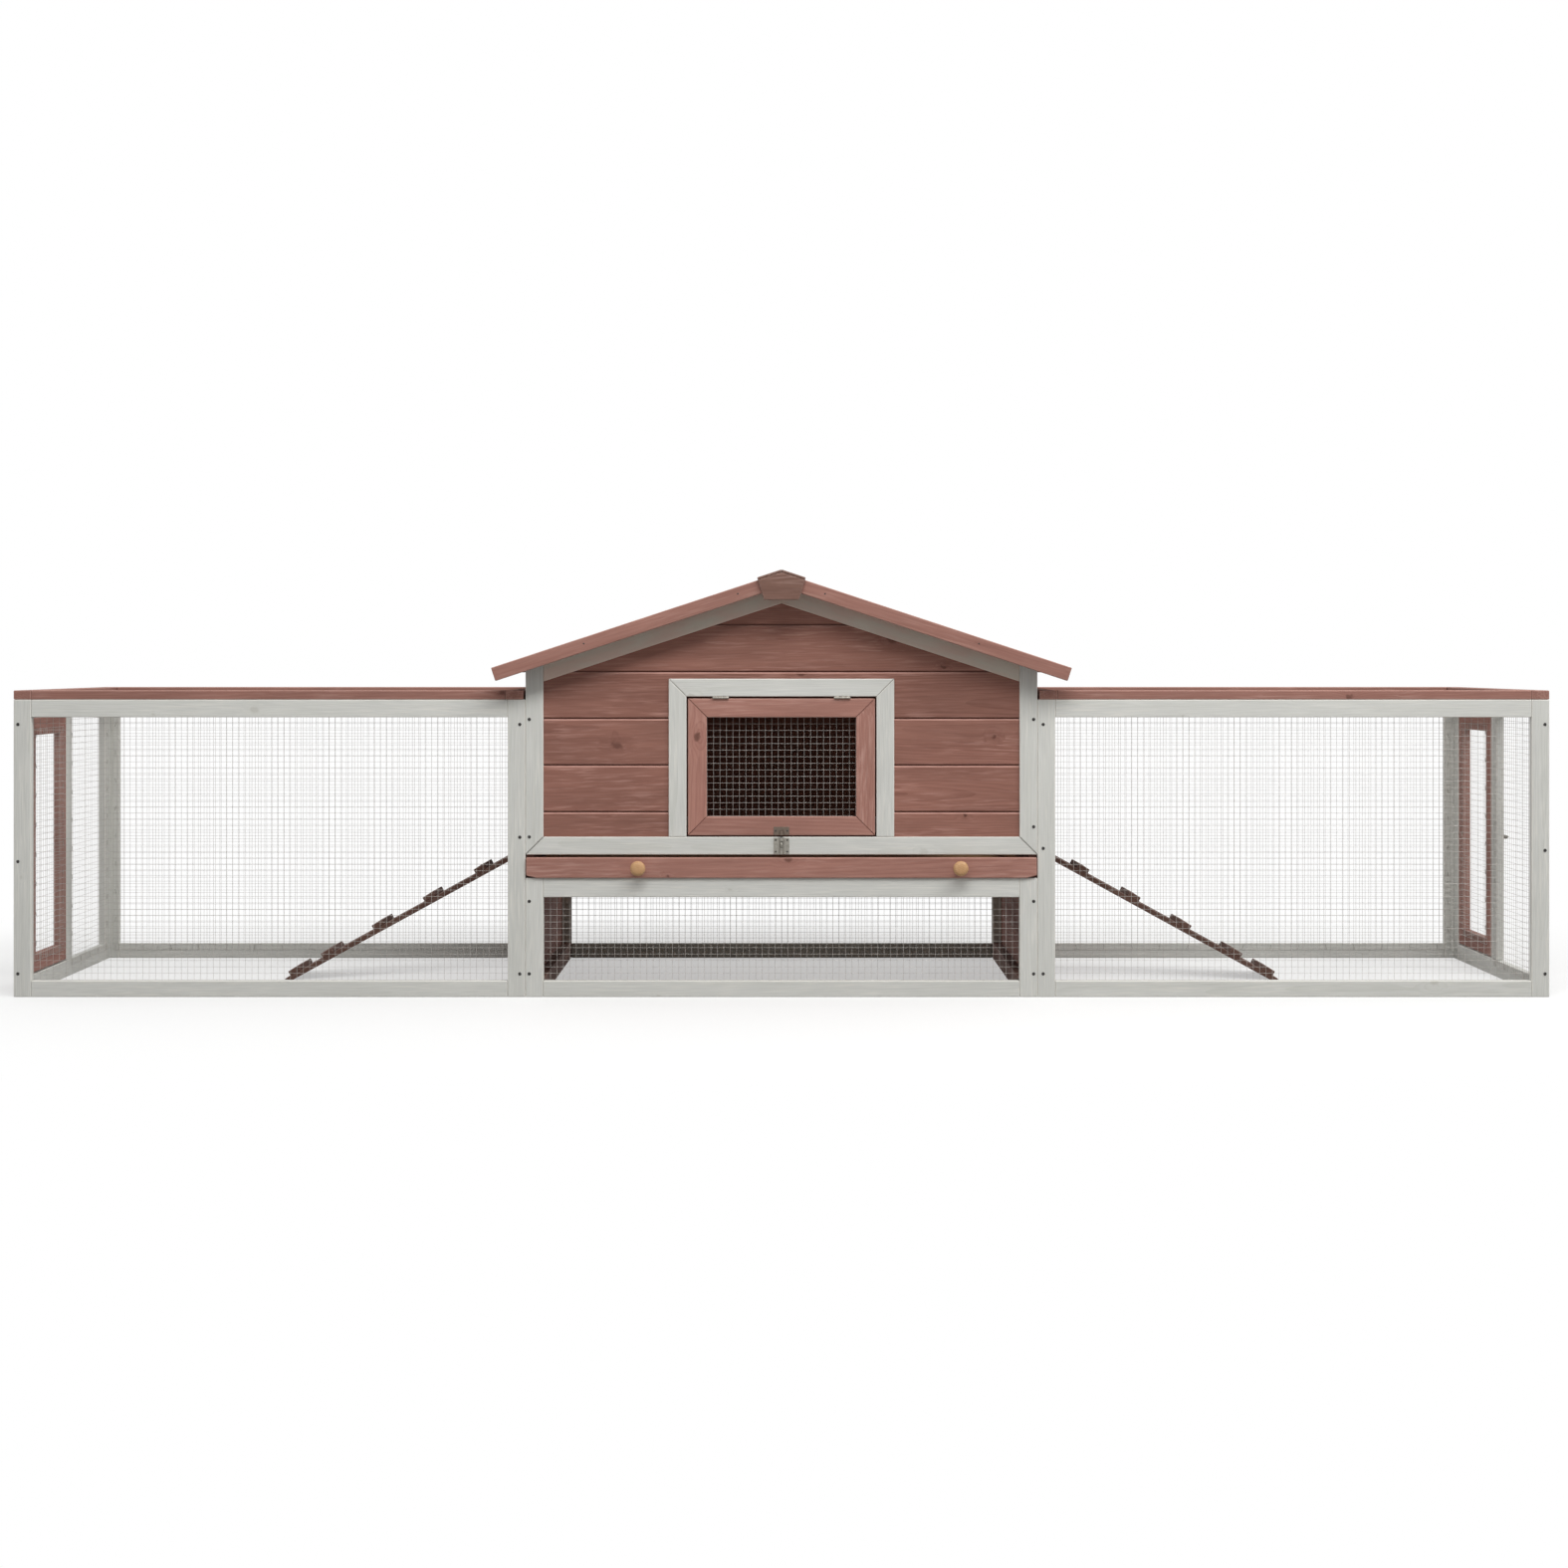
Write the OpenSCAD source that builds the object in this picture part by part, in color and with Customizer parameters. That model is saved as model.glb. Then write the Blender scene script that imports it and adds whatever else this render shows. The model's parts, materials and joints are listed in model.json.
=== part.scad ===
// Long rabbit hutch: a gabled two-storey house between two wire runs
// Front faces -Y, +Z up, origin on the ground under the middle of the hutch

/* [Sections] */
// Length of each of the three sections: left run, house and right run
section_l = 1010; // [900:10:1200]
// Depth over the wall frames, front to back
depth = 600; // [520:10:800]
// Hairline between the house and each run
section_gap = 0.3; // [0.2:0.1:1]
// Height of the run walls
run_h = 587; // [560:1:660]
// Height of the storey under the house
lower_h = 235; // [210:1:250]
// Slot between the two storeys, filled by the tray
tray_slot = 46; // [42:1:56]

/* [Frames] */
// Width of the frame members
member_w = 35; // [30:1:40]
// Width of the bottom rails of the front and back frames
low_rail_w = 32; // [28:1:38]
// Thickness of the frame members
frame_t = 15; // [13:1:18]
// Hairline at each butted or mitred joint
joint_gap = 0.2; // [0.1:0.1:0.3]
// Width of the rail under the tray slot
slot_rail_w = 38; // [30:1:45]
// Thickness of the brown frames on top of the runs
top_t = 18; // [14:1:22]
// Gap between a run's top frame and the house
top_end_gap = 4; // [2:1:8]
// Section of the square battens inside the house
batten_w = 20; // [16:1:24]
// Thickness of the battens that the runs are screwed to
fixing_batten_t = 18; // [14:1:19]

/* [Boards] */
// Pitch of the boards in the gable walls
board_pitch = 92.3; // [80:0.1:110]
// Height of the first board joint over the rail of the front gable
first_joint = 48.3; // [30:0.1:70]
// Thickness of the gable boards
gable_board_t = 9; // [9:0.5:10]
// How far the gable boards lie behind the face of their frame
gable_recess = 5; // [3:0.5:5]
// Thickness of the side walls of the house
wall_t = 15; // [12:1:18]
// Bevel on the board edges that show
bevel = 3; // [1:0.1:3]
// Height of the tongues
tongue_h = 4; // [3:0.5:6]
// Thickness of the tongues
tongue_t = 3; // [2:0.1:3]
// Play of a tongue in its groove
tongue_play = 0.2; // [0.1:0.1:0.4]
// Boards in a side wall below the pop hole
lower_courses = 3; // [2:1:4]
// Boards in a side wall above the sill of the pop hole
upper_courses = 4; // [3:1:5]

/* [Roof] */
// Pitch of the roof in degrees
roof_pitch = 18.2; // [15:0.1:22]
// Overhang of the roof past each side wall
eave_over = 62; // [50:1:80]
// Overhang of the roof past the front and back frames
gable_over = 50; // [46:1:80]
// Gap between a run's top frame and the lowest corner of the roof
eave_gap = 19; // [10:1:40]
// Thickness of the roof boards
roof_board_t = 12; // [10:1:16]
// Boards in each slope of the roof
roof_board_n = 6; // [4:1:8]
// Width of the fascia boards
fascia_w = 27; // [22:1:40]
// Thickness of the fascia boards
fascia_t = 12; // [9:1:16]
// Width of the sloping white trims under the roof
trim_w = 44; // [30:1:55]
// Half width of the ridge strips and of the plates under their ends
ridge_half_w = 46; // [36:1:60]
// Thickness of the ridge strips
ridge_strip_t = 5; // [4:1:8]
// Half width of a ridge plate at its foot
plate_foot_half_w = 34; // [24:1:44]
// Height of a ridge plate under the ridge
plate_h = 54; // [44:1:70]
// Thickness of a ridge plate
plate_t = 8; // [6:1:12]

/* [House door] */
// Width of the doorway in the front gable
doorway_w = 375; // [300:1:420]
// Height of the doorway
doorway_h = 277; // [240:1:285]
// Width of the door's own frame members
door_member_w = 37; // [30:1:45]
// Distance of each door hinge from the middle
door_hinge_x = 120; // [80:1:125]

/* [Run doors] */
// Height of each run door hinge from the middle of the door
run_hinge_z = 170; // [100:1:200]

/* [Hinges] */
// Gap between a door and its frame on the hinged side
hinge_gap = 4; // [4:0.2:5]
// Gap between a door and its frame on the other sides
door_gap = 3; // [2:0.5:4]
// Length of a hinge
hinge_l = 32; // [24:1:40]
// Thickness of a hinge leaf
leaf_t = 1; // [0.8:0.1:1.2]
// How far a leaf reaches back from the pin
leaf_reach = 14; // [11:0.5:14.5]
// Radius of the hinge knuckles
knuckle_r = 2.5; // [2.3:0.1:2.5]
// Radius of the hinge pins
pin_r = 1.2; // [1:0.1:1.4]
// Radial play of a pin in its knuckles
pin_play = 0.05; // [0.03:0.01:0.08]
// Distance of a door's hinge pin from the face of its frame
pin_stand = 2; // [2:0.1:2.4]
// Gap between the knuckles of one hinge
knuckle_gap = 0.4; // [0.3:0.1:0.6]
// Gap between a leaf's plate and the knuckles of the other leaf
plate_gap = 0.5; // [0.4:0.1:1]

/* [Bolts] */
// Length and width of a bolt plate
bolt_plate_w = 31; // [26:1:33]
// Thickness of the bolt and keeper plates
bolt_plate_t = 1.2; // [1:0.1:1.6]
// Radius of the sliding rod
rod_r = 2.5; // [2:0.1:2.8]
// Play of the rod in its barrel
rod_play = 0.3; // [0.25:0.05:0.4]
// Wall of the barrel and of the keeper's loop
barrel_wall = 1.5; // [1:0.1:1.8]
// Gap between the barrel and the wood
barrel_gap = 0.7; // [0.4:0.1:1]
// Length of the sliding rod
rod_l = 26; // [24:1:27]
// Travel of the sliding rod
rod_travel = 13; // [11:0.5:14]
// Radius of the rod's handle
handle_r = 2; // [1.5:0.1:2.2]
// Height of the rod's handle over its axis
handle_h = 9; // [7:0.5:12]
// Distance of the handle from the back end of the rod
handle_inset = 5; // [4:0.5:7]
// Play of the handle in the barrel's slot
slot_play = 0.4; // [0.3:0.1:0.6]
// Width of a keeper along the rod
keeper_l = 16; // [13:1:18]
// Width of the keeper's loop
loop_l = 8; // [6:0.5:10]
// Distance of a keeper from the edge of its door
keeper_inset = 1; // [0.5:0.5:3]

/* [Tray] */
// Height of the tray's front board
tray_front_h = 40; // [36:1:41]
// How far the tray's front board stands out of the frames
tray_proud = 5; // [3:1:6]
// Length and height taken off the lower corners of the front board
tray_corner_l = 20; // [10:1:30]
tray_corner_h = 5; // [2:0.5:8]
// Gap at each end of the tray's front board
tray_end_gap = 1.5; // [1:0.5:4]
// Gap between the tray and the wall at each side
tray_side_gap = 2; // [1:0.5:5]
// Gap between the tray and the back of the house
tray_back_gap = 5; // [3:1:20]
// Lift of the tray over the storey below
tray_lift = 0.5; // [0.4:0.1:1]
// Gap between the tray and its runners
runner_gap = 0.3; // [0.2:0.1:0.3]
// Thickness of the tray's floor
tray_floor_t = 5; // [4:1:8]
// Thickness of the tray's rims
tray_rim_t = 12; // [9:1:15]
// Height of the tray's rims
tray_rim_h = 28; // [20:1:32]
// Distance of the left knob from the middle
knob_left_x = 282; // [200:1:400]
// Distance of the right knob from the middle
knob_right_x = 352; // [200:1:400]
// Radius of a knob
knob_r = 15; // [12:0.5:17]
// Length of a knob
knob_l = 26; // [20:1:30]

/* [Ramps] */
// Height of the pop hole's sill over the upper storey's foot
sill_rise = 11; // [8:1:30]
// Width of the pop hole
hole_w = 190; // [160:1:240]
// Distance from the house to the foot of the ramp
ramp_run = 532; // [450:1:640]
// Width of the ramp
ramp_w = 120; // [105:1:150]
// Thickness of the ramp's plank
ramp_t = 10; // [8:1:14]
// Width of a cleat along the ramp
cleat_w = 25; // [18:1:30]
// Thickness of a cleat
cleat_t = 10; // [6:1:12]
// Distance of the first cleat from the top of the ramp
cleat_first = 137; // [100:1:160]
// Pitch of the cleats
cleat_pitch = 121; // [90:1:150]
// Distance of the last cleat from the ramp's tip
cleat_last = 30; // [26:1:45]
// Gap between the ramp's end and the wall
ramp_gap = 2; // [1.5:0.5:3]
// Distance of each ramp hinge from the middle of the ramp
ramp_hinge_y = 34; // [20:1:35]
// Lift of the ramp's foot over the ground
foot_lift = 0.3; // [0.2:0.1:0.4]
// Length cut off the thin tip of the ramp's foot
tip_cut = 4; // [2:0.5:8]
// Gap between the wall and the knuckles of a ramp hinge
ramp_pin_gap = 0.7; // [0.5:0.1:1.5]
// Height of a ramp hinge's pin over the sill
ramp_pin_up = 1.6; // [1.5:0.1:2]

/* [Wire mesh] */
// Spacing of the modelled wires, four times that of the real half-inch mesh
net_pitch = 50.8; // [50:0.1:150]
// Thickness of a wire
wire_t = 1.2; // [1:0.1:2]
// How far the mesh laps onto the back of its frame
net_lap = 13; // [8:1:14]

/* [Screws] */
// Radius of a screw head
screw_r = 3.4; // [2.5:0.1:4]
// Height of a screw head
screw_head_h = 1.2; // [0.8:0.1:2]
// Height of the lowest screw in a post
screw_foot = 46; // [38:1:60]
// Distance of the highest screw from the top of a run's post
screw_top = 49; // [38:1:60]
// Distance of the screws from the outer edge of a run's last post
screw_edge = 9; // [6:0.5:12]
// Distance of the screws from the edge of a run's post beside the house
screw_near = 11; // [6:0.5:20]
// Distance of the highest screw from the roof in a post of the house
house_screw_top = 104; // [60:1:150]

/* [Hidden] */
half_depth = depth / 2;
house_half = section_l / 2;
run_in = house_half + section_gap;
run_out = run_in + section_l;
wall_y = half_depth - frame_t;
wall_x = house_half - wall_t;

// Levels of the house
slot_top = lower_h + tray_slot;
rail_top = slot_top + member_w;
sill_z = slot_top + sill_rise;

// Roof line: heights of its top and of its underside at a distance x from the ridge
half_span = house_half + eave_over;
eave_z = run_h + top_t + eave_gap + fascia_w * cos(roof_pitch);
ridge_z = eave_z + half_span * tan(roof_pitch);
function roof_top(x) = ridge_z - abs(x) * tan(roof_pitch);
function under_roof(x, down) = roof_top(x) - (roof_board_t + down) / cos(roof_pitch);
slope_l = half_span / cos(roof_pitch);
fascia_face = half_depth + gable_over;
post_inner = house_half - member_w;

// Heights of the boards in a side wall
lower_course = sill_z / lower_courses;
upper_course = (under_roof(wall_x, 0) - sill_z) / upper_courses;
hole_courses = 2;

// House door, hung from the head of the doorway
door_w = doorway_w - 2 * door_gap;
door_h = doorway_h - hinge_gap - door_gap;
head_z = rail_top + doorway_h;
casing_half_w = doorway_w / 2 + member_w;

// Walls that stand between the front and back frames, with a hairline at each end
end_y = wall_y - joint_gap;
end_w = 2 * end_y;
net_t = 2 * wire_t + joint_gap;
foot_rail_y = end_y - net_t - joint_gap;

// Run end wall, with a door in the half on its right seen from outside
end_door_x = (end_w + member_w) / 2;
end_bay_w = end_w - member_w - end_door_x;
end_bay_h = run_h - 2 * member_w;
end_door_w = end_bay_w - hinge_gap - door_gap;
end_door_h = end_bay_h - 2 * door_gap;
end_hinge_x = end_w - member_w - hinge_gap / 2;

// Tray
tray_z = lower_h + tray_lift;
tray_half_w = wall_x - tray_side_gap;
tray_front_y = -half_depth - tray_proud;
tray_back_y = wall_y - tray_back_gap;

// Ramp: the line of its top face falls from the sill to the ground
ramp_angle = atan(sill_z / ramp_run);
ramp_l = ramp_run / cos(ramp_angle);
function ramp_top(x) = (ramp_run - x) * tan(ramp_angle);
ramp_pin_x = knuckle_r + ramp_pin_gap;
ramp_pin_off = ramp_pin_x * sin(ramp_angle) + ramp_pin_up * cos(ramp_angle);

// Bolts
bolt_inset = (member_w - bolt_plate_w) / 2;
barrel_r = rod_r + rod_play + barrel_wall;
rod_stand = barrel_gap + barrel_r;
rod_start = bolt_plate_w - rod_l;
handle_z = rod_start + handle_inset;
keeper_start = bolt_plate_w + bolt_inset + door_gap + keeper_inset;

// Posts along the front from left to right: the place of their screws and the height of the middle one,
// which was driven by eye and differs from post to post
run_posts = [[-run_out + screw_edge, -26], [-run_in - screw_near, 22],
    [run_in + screw_near, 0], [run_out - screw_edge, -4]];
house_posts = [[-house_half + frame_t / 2, 0], [house_half - frame_t / 2, 20]];

brown = [0.62, 0.44, 0.39];
dark_brown = [0.47, 0.34, 0.30];
white = [0.77, 0.78, 0.75];
pine = [0.80, 0.66, 0.46];
steel = [0.66, 0.67, 0.68];
wire = [0.58, 0.60, 0.60];
dark_steel = [0.25, 0.24, 0.24];

$fn = 32;

// Turns a piece of the right run or of the front into its twin on the other side
module half_turn() rotate([0, 0, 180]) children();

// Stands a drawing up in the XZ plane, with its thickness towards +Y
module upright(t) translate([0, t, 0]) rotate([90, 0, 0]) linear_extrude(t) children();

// Stands a net up behind the plane y = 0
module net_upright() translate([0, net_t, 0]) rotate([90, 0, 0]) children();

// Box between two opposite corners
module bar(low, high) translate(low) cube(high - low);

// Rectangle between two opposite corners
module patch(low, high) translate(low) square(high - low);

// Frame drawing with full-height posts and rails butted between them
module butt_frame(w, h, m, low_m, top_m)
{
    for (x = [0, w - m]) patch([x, 0], [x + m, h]);
    patch([m + joint_gap, 0], [w - m - joint_gap, low_m]);
    patch([m + joint_gap, h - top_m], [w - m - joint_gap, h]);
}

// Frame drawing with its four members mitred at the corners
module mitre_frame(w, h, m)
{
    for (side = [0, 1]) translate([side * w, 0]) mirror([side, 0])
        polygon([[0, 0], [m, m], [m, h - m], [0, h]]);
    for (end = [0, 1]) translate([0, end * h]) mirror([0, end])
        polygon([[joint_gap, 0], [w - joint_gap, 0], [w - m - joint_gap, m], [m + joint_gap, m]]);
}

// Parallel wires lying on z = 0, from x = 0 to w, as long as l along y
module wire_layer(w, l)
{
    count = round((w - wire_t) / net_pitch);
    for (i = [0 : count]) translate([i * (w - wire_t) / count, 0, 0]) cube([wire_t, l, wire_t]);
}

// Welded mesh over an opening in the XY plane, lapped onto its frame all round:
// one layer of wires on the other, with a hairline between them
module opening_net(low, high)
{
    size = high - low + 2 * [net_lap, net_lap];
    translate(low - [net_lap, net_lap])
    {
        wire_layer(size[0], size[1]);
        translate([0, size[1], wire_t + joint_gap]) rotate(-90) wire_layer(size[1], size[0]);
    }
}

// Section of a tongue and groove board: x through its thickness from the face, y across its width
function board_section(w, t, groove, tongue) = let (a = (t + bevel - tongue_t) / 2,
    b = a + tongue_t, p = tongue_play) concat(
    [[bevel, 0], [0, bevel], [0, w - bevel], [bevel, w]],
    tongue ? [[a, w], [a, w + tongue_h], [b, w + tongue_h], [b, w]] : [],
    [[t, w], [t, 0]],
    groove ? [[b + p, 0], [b + p, tongue_h + p], [a - p, tongue_h + p], [a - p, 0]] : []);

// Wall of level boards whose faces lie in the plane x = 0 and look to -X, running to -Y
module board_stack(n, pitch, t, l)
    for (i = [0 : n - 1]) translate([0, 0, i * pitch]) rotate([90, 0, 0]) linear_extrude(l)
        polygon(board_section(pitch - joint_gap, t, i > 0, i < n - 1));

// Shape of the gable between z and the roof, drawn down from the roof's underside
module gable_shape(half_w, z, down) polygon([[-half_w, z], [half_w, z],
    [half_w, under_roof(half_w, down)], [0, under_roof(0, down)], [-half_w, under_roof(half_w, down)]]);

// White gable frame: two posts and a rail mitred at their feet, with a sloping trim under each slope
module gable_frame()
{
    rail_w = 2 * house_half;
    for (side = [-1, 1]) scale([side, 1])
    {
        polygon([[house_half, slot_top], [post_inner, rail_top],
            [post_inner, under_roof(post_inner, joint_gap)],
            [house_half, under_roof(house_half, joint_gap)]]);
        polygon([[joint_gap / 2, under_roof(joint_gap / 2, joint_gap)],
            [post_inner - joint_gap, under_roof(post_inner - joint_gap, joint_gap)],
            [post_inner - joint_gap, under_roof(post_inner - joint_gap, trim_w)],
            [joint_gap / 2, under_roof(joint_gap / 2, trim_w)]]);
    }
    translate([-house_half, slot_top]) polygon([[joint_gap, 0], [rail_w - joint_gap, 0],
        [rail_w - member_w - joint_gap, member_w], [member_w + joint_gap, member_w]]);
}

// Brown boards inside a gable frame, cut to the slopes
module gable_boards()
{
    start = rail_top + first_joint - board_pitch;
    count = ceil((ridge_z - start) / board_pitch);
    intersection()
    {
        translate([-house_half, gable_recess - half_depth, start]) rotate([0, 0, 90])
            board_stack(count, board_pitch, gable_board_t, 2 * house_half);
        translate([0, gable_recess - half_depth, 0]) upright(gable_board_t)
            gable_shape(post_inner - joint_gap, rail_top + joint_gap, trim_w + joint_gap);
    }
}

// Side wall of level boards with the pop hole left between the short boards
module side_wall()
{
    hole_top = sill_z + hole_courses * upper_course;
    beside_l = (end_w - hole_w) / 2;
    intersection()
    {
        translate([-house_half, end_y, 0])
        {
            board_stack(lower_courses, lower_course, wall_t, end_w);
            translate([0, 0, sill_z]) for (y = [0, -beside_l - hole_w])
                translate([0, y, 0]) board_stack(hole_courses, upper_course, wall_t, beside_l);
            translate([0, 0, hole_top])
                board_stack(upper_courses - hole_courses, upper_course, wall_t, end_w);
        }
        translate([0, -end_y, 0]) upright(end_w) gable_shape(house_half, 0, joint_gap);
    }
}

// One slope of the roof on the left: boards from the eave to the ridge
module roof_slope()
{
    y = fascia_face - fascia_t - joint_gap;
    intersection()
    {
        translate([-half_span, y, eave_z]) rotate([0, 90 - roof_pitch, 0])
            board_stack(roof_board_n, slope_l / roof_board_n, roof_board_t, 2 * y);
        bar([-half_span, -y, 0], [-joint_gap / 2, y, ridge_z]);
    }
}

// Fascia board on the left end edge of the roof, square to the slope at the eave
module fascia() upright(fascia_t) polygon([[-half_span, eave_z], [-joint_gap / 2, roof_top(0)],
    [-joint_gap / 2, roof_top(0) - fascia_w / cos(roof_pitch)],
    [-half_span + fascia_w * sin(roof_pitch), eave_z - fascia_w * cos(roof_pitch)]]);

// Batten under the left slope, against the inside of a gable wall
module rafter() upright(batten_w) polygon([[-wall_x + joint_gap, under_roof(wall_x, joint_gap)],
    [-joint_gap, under_roof(0, joint_gap)], [-joint_gap, under_roof(0, batten_w)],
    [-wall_x + joint_gap, under_roof(wall_x, batten_w)]]);

// Knuckle places of a hinge along its pin: the frame leaf has the outer two, the door leaf the middle one
knuckle_l = (hinge_l - 2 * knuckle_gap) / 3;
function knuckle_z(i) = -hinge_l / 2 + i * (knuckle_l + knuckle_gap);

// Hinge leaf round a pin on the Z axis: its plate lies at x = off and reaches back to +Y
module hinge_leaf(knuckles, off) difference()
{
    union()
    {
        bar([off, knuckle_r + plate_gap, -hinge_l / 2], [off + leaf_t, leaf_reach, hinge_l / 2]);
        for (i = knuckles) translate([0, 0, knuckle_z(i)])
        {
            bar([off, 0, 0], [off + leaf_t, leaf_reach, knuckle_l]);
            cylinder(r = knuckle_r, h = knuckle_l);
        }
    }
    translate([0, 0, -hinge_l]) cylinder(r = pin_r + pin_play, h = 2 * hinge_l);
}
module hinge_pin() translate([0, 0, -hinge_l / 2]) cylinder(r = pin_r, h = hinge_l);

// Places of the house door's hinges, with the frame towards local -X
module at_house_hinges() for (x = [-door_hinge_x, door_hinge_x])
    translate([x, -half_depth - pin_stand, head_z - hinge_gap / 2]) rotate([0, 90, 0]) children();

// Places of the right run door's hinges in the end wall's own drawing
module at_run_hinges() for (z = [-run_hinge_z, run_hinge_z])
    translate([end_hinge_x, -pin_stand, run_h / 2 + z]) rotate([0, 180, 0]) children();

// Places of the right ramp's hinges, with the pin along the sill
module at_ramp_hinges() for (y = [-ramp_hinge_y, ramp_hinge_y])
    translate([house_half + ramp_pin_x, y, sill_z + ramp_pin_up]) rotate([90, 0, 0]) children();

// Puts an end wall's drawing, outer face at y = 0, at the right end of the hutch
module at_right_end() translate([run_out, -end_y, 0]) rotate([0, 0, 90]) children();

// Slide bolt along +Z on a face at y = 0: its slotted barrel on a plate
module bolt_plate() difference()
{
    union()
    {
        bar([-bolt_plate_w / 2, -bolt_plate_t, 0], [bolt_plate_w / 2, 0, bolt_plate_w]);
        translate([0, -rod_stand, 0]) cylinder(r = barrel_r, h = bolt_plate_w);
    }
    translate([0, -rod_stand, -1]) cylinder(r = rod_r + rod_play, h = bolt_plate_w + 2);
    bar([-handle_r - slot_play, -rod_stand - barrel_r - 1, handle_z - handle_r - slot_play],
        [handle_r + slot_play, -rod_stand, handle_z + rod_travel + handle_r + slot_play]);
}

// Rod with its handle, drawn back as when the door is free
module bolt_rod() translate([0, -rod_stand, 0])
{
    translate([0, 0, rod_start]) cylinder(r = rod_r, h = rod_l);
    translate([0, 0, handle_z]) rotate([90, 0, 0]) cylinder(r = handle_r, h = handle_h);
}

// Keeper on the door: a plate with the loop that takes the rod
module bolt_keeper() difference()
{
    union()
    {
        bar([-bolt_plate_w / 2, -bolt_plate_t, keeper_start],
            [bolt_plate_w / 2, 0, keeper_start + keeper_l]);
        translate([0, -rod_stand, keeper_start]) cylinder(r = barrel_r, h = loop_l);
    }
    translate([0, -rod_stand, keeper_start - 1]) cylinder(r = rod_r + rod_play, h = keeper_l + 2);
}

// Places of the bolts: upright under the house door, level on the run door's middle post
module at_house_bolt() translate([0, -half_depth, slot_top + bolt_inset]) children();
module at_run_bolt() translate([end_door_x - member_w + bolt_inset, 0, run_h / 2])
    rotate([0, 90, 0]) children();

// White frames of the house
module house_front_frame() color(white) translate([0, -half_depth, 0]) upright(frame_t) gable_frame();
module house_back_frame() half_turn() house_front_frame();
module lower_frame() color(white) translate([-house_half, -half_depth, 0]) upright(frame_t)
    butt_frame(section_l, lower_h, member_w, low_rail_w, slot_rail_w);

// White casing round the doorway, mitred at its head
module door_casing() color(white) translate([0, -half_depth, 0]) upright(frame_t)
{
    low = rail_top + joint_gap;
    top = head_z + member_w;
    for (side = [-1, 1]) scale([side, 1])
        polygon([[doorway_w / 2, low], [casing_half_w, low],
            [casing_half_w, top], [doorway_w / 2, head_z]]);
    polygon([[-doorway_w / 2 + joint_gap, head_z], [doorway_w / 2 - joint_gap, head_z],
        [casing_half_w - joint_gap, top], [-casing_half_w + joint_gap, top]]);
}

module house_front_boards() color(brown) difference()
{
    gable_boards();
    bar([-casing_half_w - joint_gap, -half_depth - 1, slot_top],
        [casing_half_w + joint_gap, 0, head_z + member_w + joint_gap]);
}

// Back gable boards, with the board that closes the back of the tray slot
module house_back_boards() color(brown) half_turn()
{
    gable_boards();
    bar([-house_half, -half_depth, lower_h + joint_gap], [house_half, -wall_y, slot_top - joint_gap]);
}

module house_left_wall() color(brown) side_wall();
module house_right_wall() color(brown) half_turn() side_wall();

// Mesh behind the storey under the house
module lower_net() color(wire) translate([-house_half, -end_y, 0]) net_upright()
    opening_net([member_w, low_rail_w], [section_l - member_w, lower_h - slot_rail_w]);

// Strips on the side walls that the tray slides on
module tray_runners() color(pine) for (side = [0, 1]) mirror([side, 0, 0])
    bar([-wall_x + joint_gap, -end_y, tray_z - runner_gap - batten_w],
        [-wall_x + batten_w, end_y, tray_z - runner_gap]);

// Foot rails inside the lower storey and upright battens outside that the runs are screwed to
module wall_battens() color(dark_brown) for (side = [0, 1]) mirror([side, 0, 0])
{
    bar([-wall_x + joint_gap, -foot_rail_y, 0], [-wall_x + batten_w, foot_rail_y, member_w]);
    for (end = [0, 1]) mirror([0, end, 0])
        bar([-run_in - fixing_batten_t, -end_y, 0],
            [-house_half - joint_gap, -end_y + member_w, run_h - joint_gap]);
}

module roof_left_boards() color(brown) roof_slope();
module roof_right_boards() color(brown) half_turn() roof_slope();
module roof_battens() color(dark_brown) for (turn = [0, 180], end = [0, 1])
    rotate([0, 0, turn]) mirror([0, end, 0]) translate([0, -wall_y + joint_gap, 0]) rafter();
module fascia_boards() color(brown) for (turn = [0, 180], end = [0, 1])
    rotate([0, 0, turn]) mirror([0, end, 0]) translate([0, -fascia_face, 0]) fascia();

// Thin strips over the ridge, as long as the roof with its end plates
module ridge_strips() color(dark_brown) for (side = [-1, 1])
    translate([0, -fascia_face - plate_t, joint_gap]) upright(2 * (fascia_face + plate_t))
        scale([side, 1])
            polygon([[joint_gap / 2, roof_top(0)], [ridge_half_w, roof_top(ridge_half_w)],
                [ridge_half_w + ridge_strip_t * sin(roof_pitch),
                    roof_top(ridge_half_w) + ridge_strip_t * cos(roof_pitch)],
                [joint_gap / 2, roof_top(0) + ridge_strip_t / cos(roof_pitch)]]);

// Six-sided plates over the joint of the fascias
module ridge_plates() color(dark_brown) for (turn = [0, 180]) rotate([0, 0, turn])
    translate([0, -fascia_face - plate_t, 0]) upright(plate_t - joint_gap)
        polygon([[0, roof_top(0)], [ridge_half_w, roof_top(ridge_half_w)],
            [plate_foot_half_w, ridge_z - plate_h], [-plate_foot_half_w, ridge_z - plate_h],
            [-ridge_half_w, roof_top(ridge_half_w)]]);

// Screw heads on the front and back of every post
module screw_head() rotate([90, 0, 0]) cylinder(r = screw_r, h = screw_head_h, $fn = 16);
module panel_screws() color(dark_steel) for (turn = [0, 180]) rotate([0, 0, turn])
{
    for (post = run_posts, z = [screw_foot, run_h / 2 + post[1], run_h - screw_top])
        translate([post[0], -half_depth, z]) screw_head();
    for (post = house_posts, z = [screw_foot, lower_h - screw_foot,
        rail_top + post[1], under_roof(house_half, house_screw_top)])
        translate([post[0], -half_depth, z]) screw_head();
}

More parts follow.
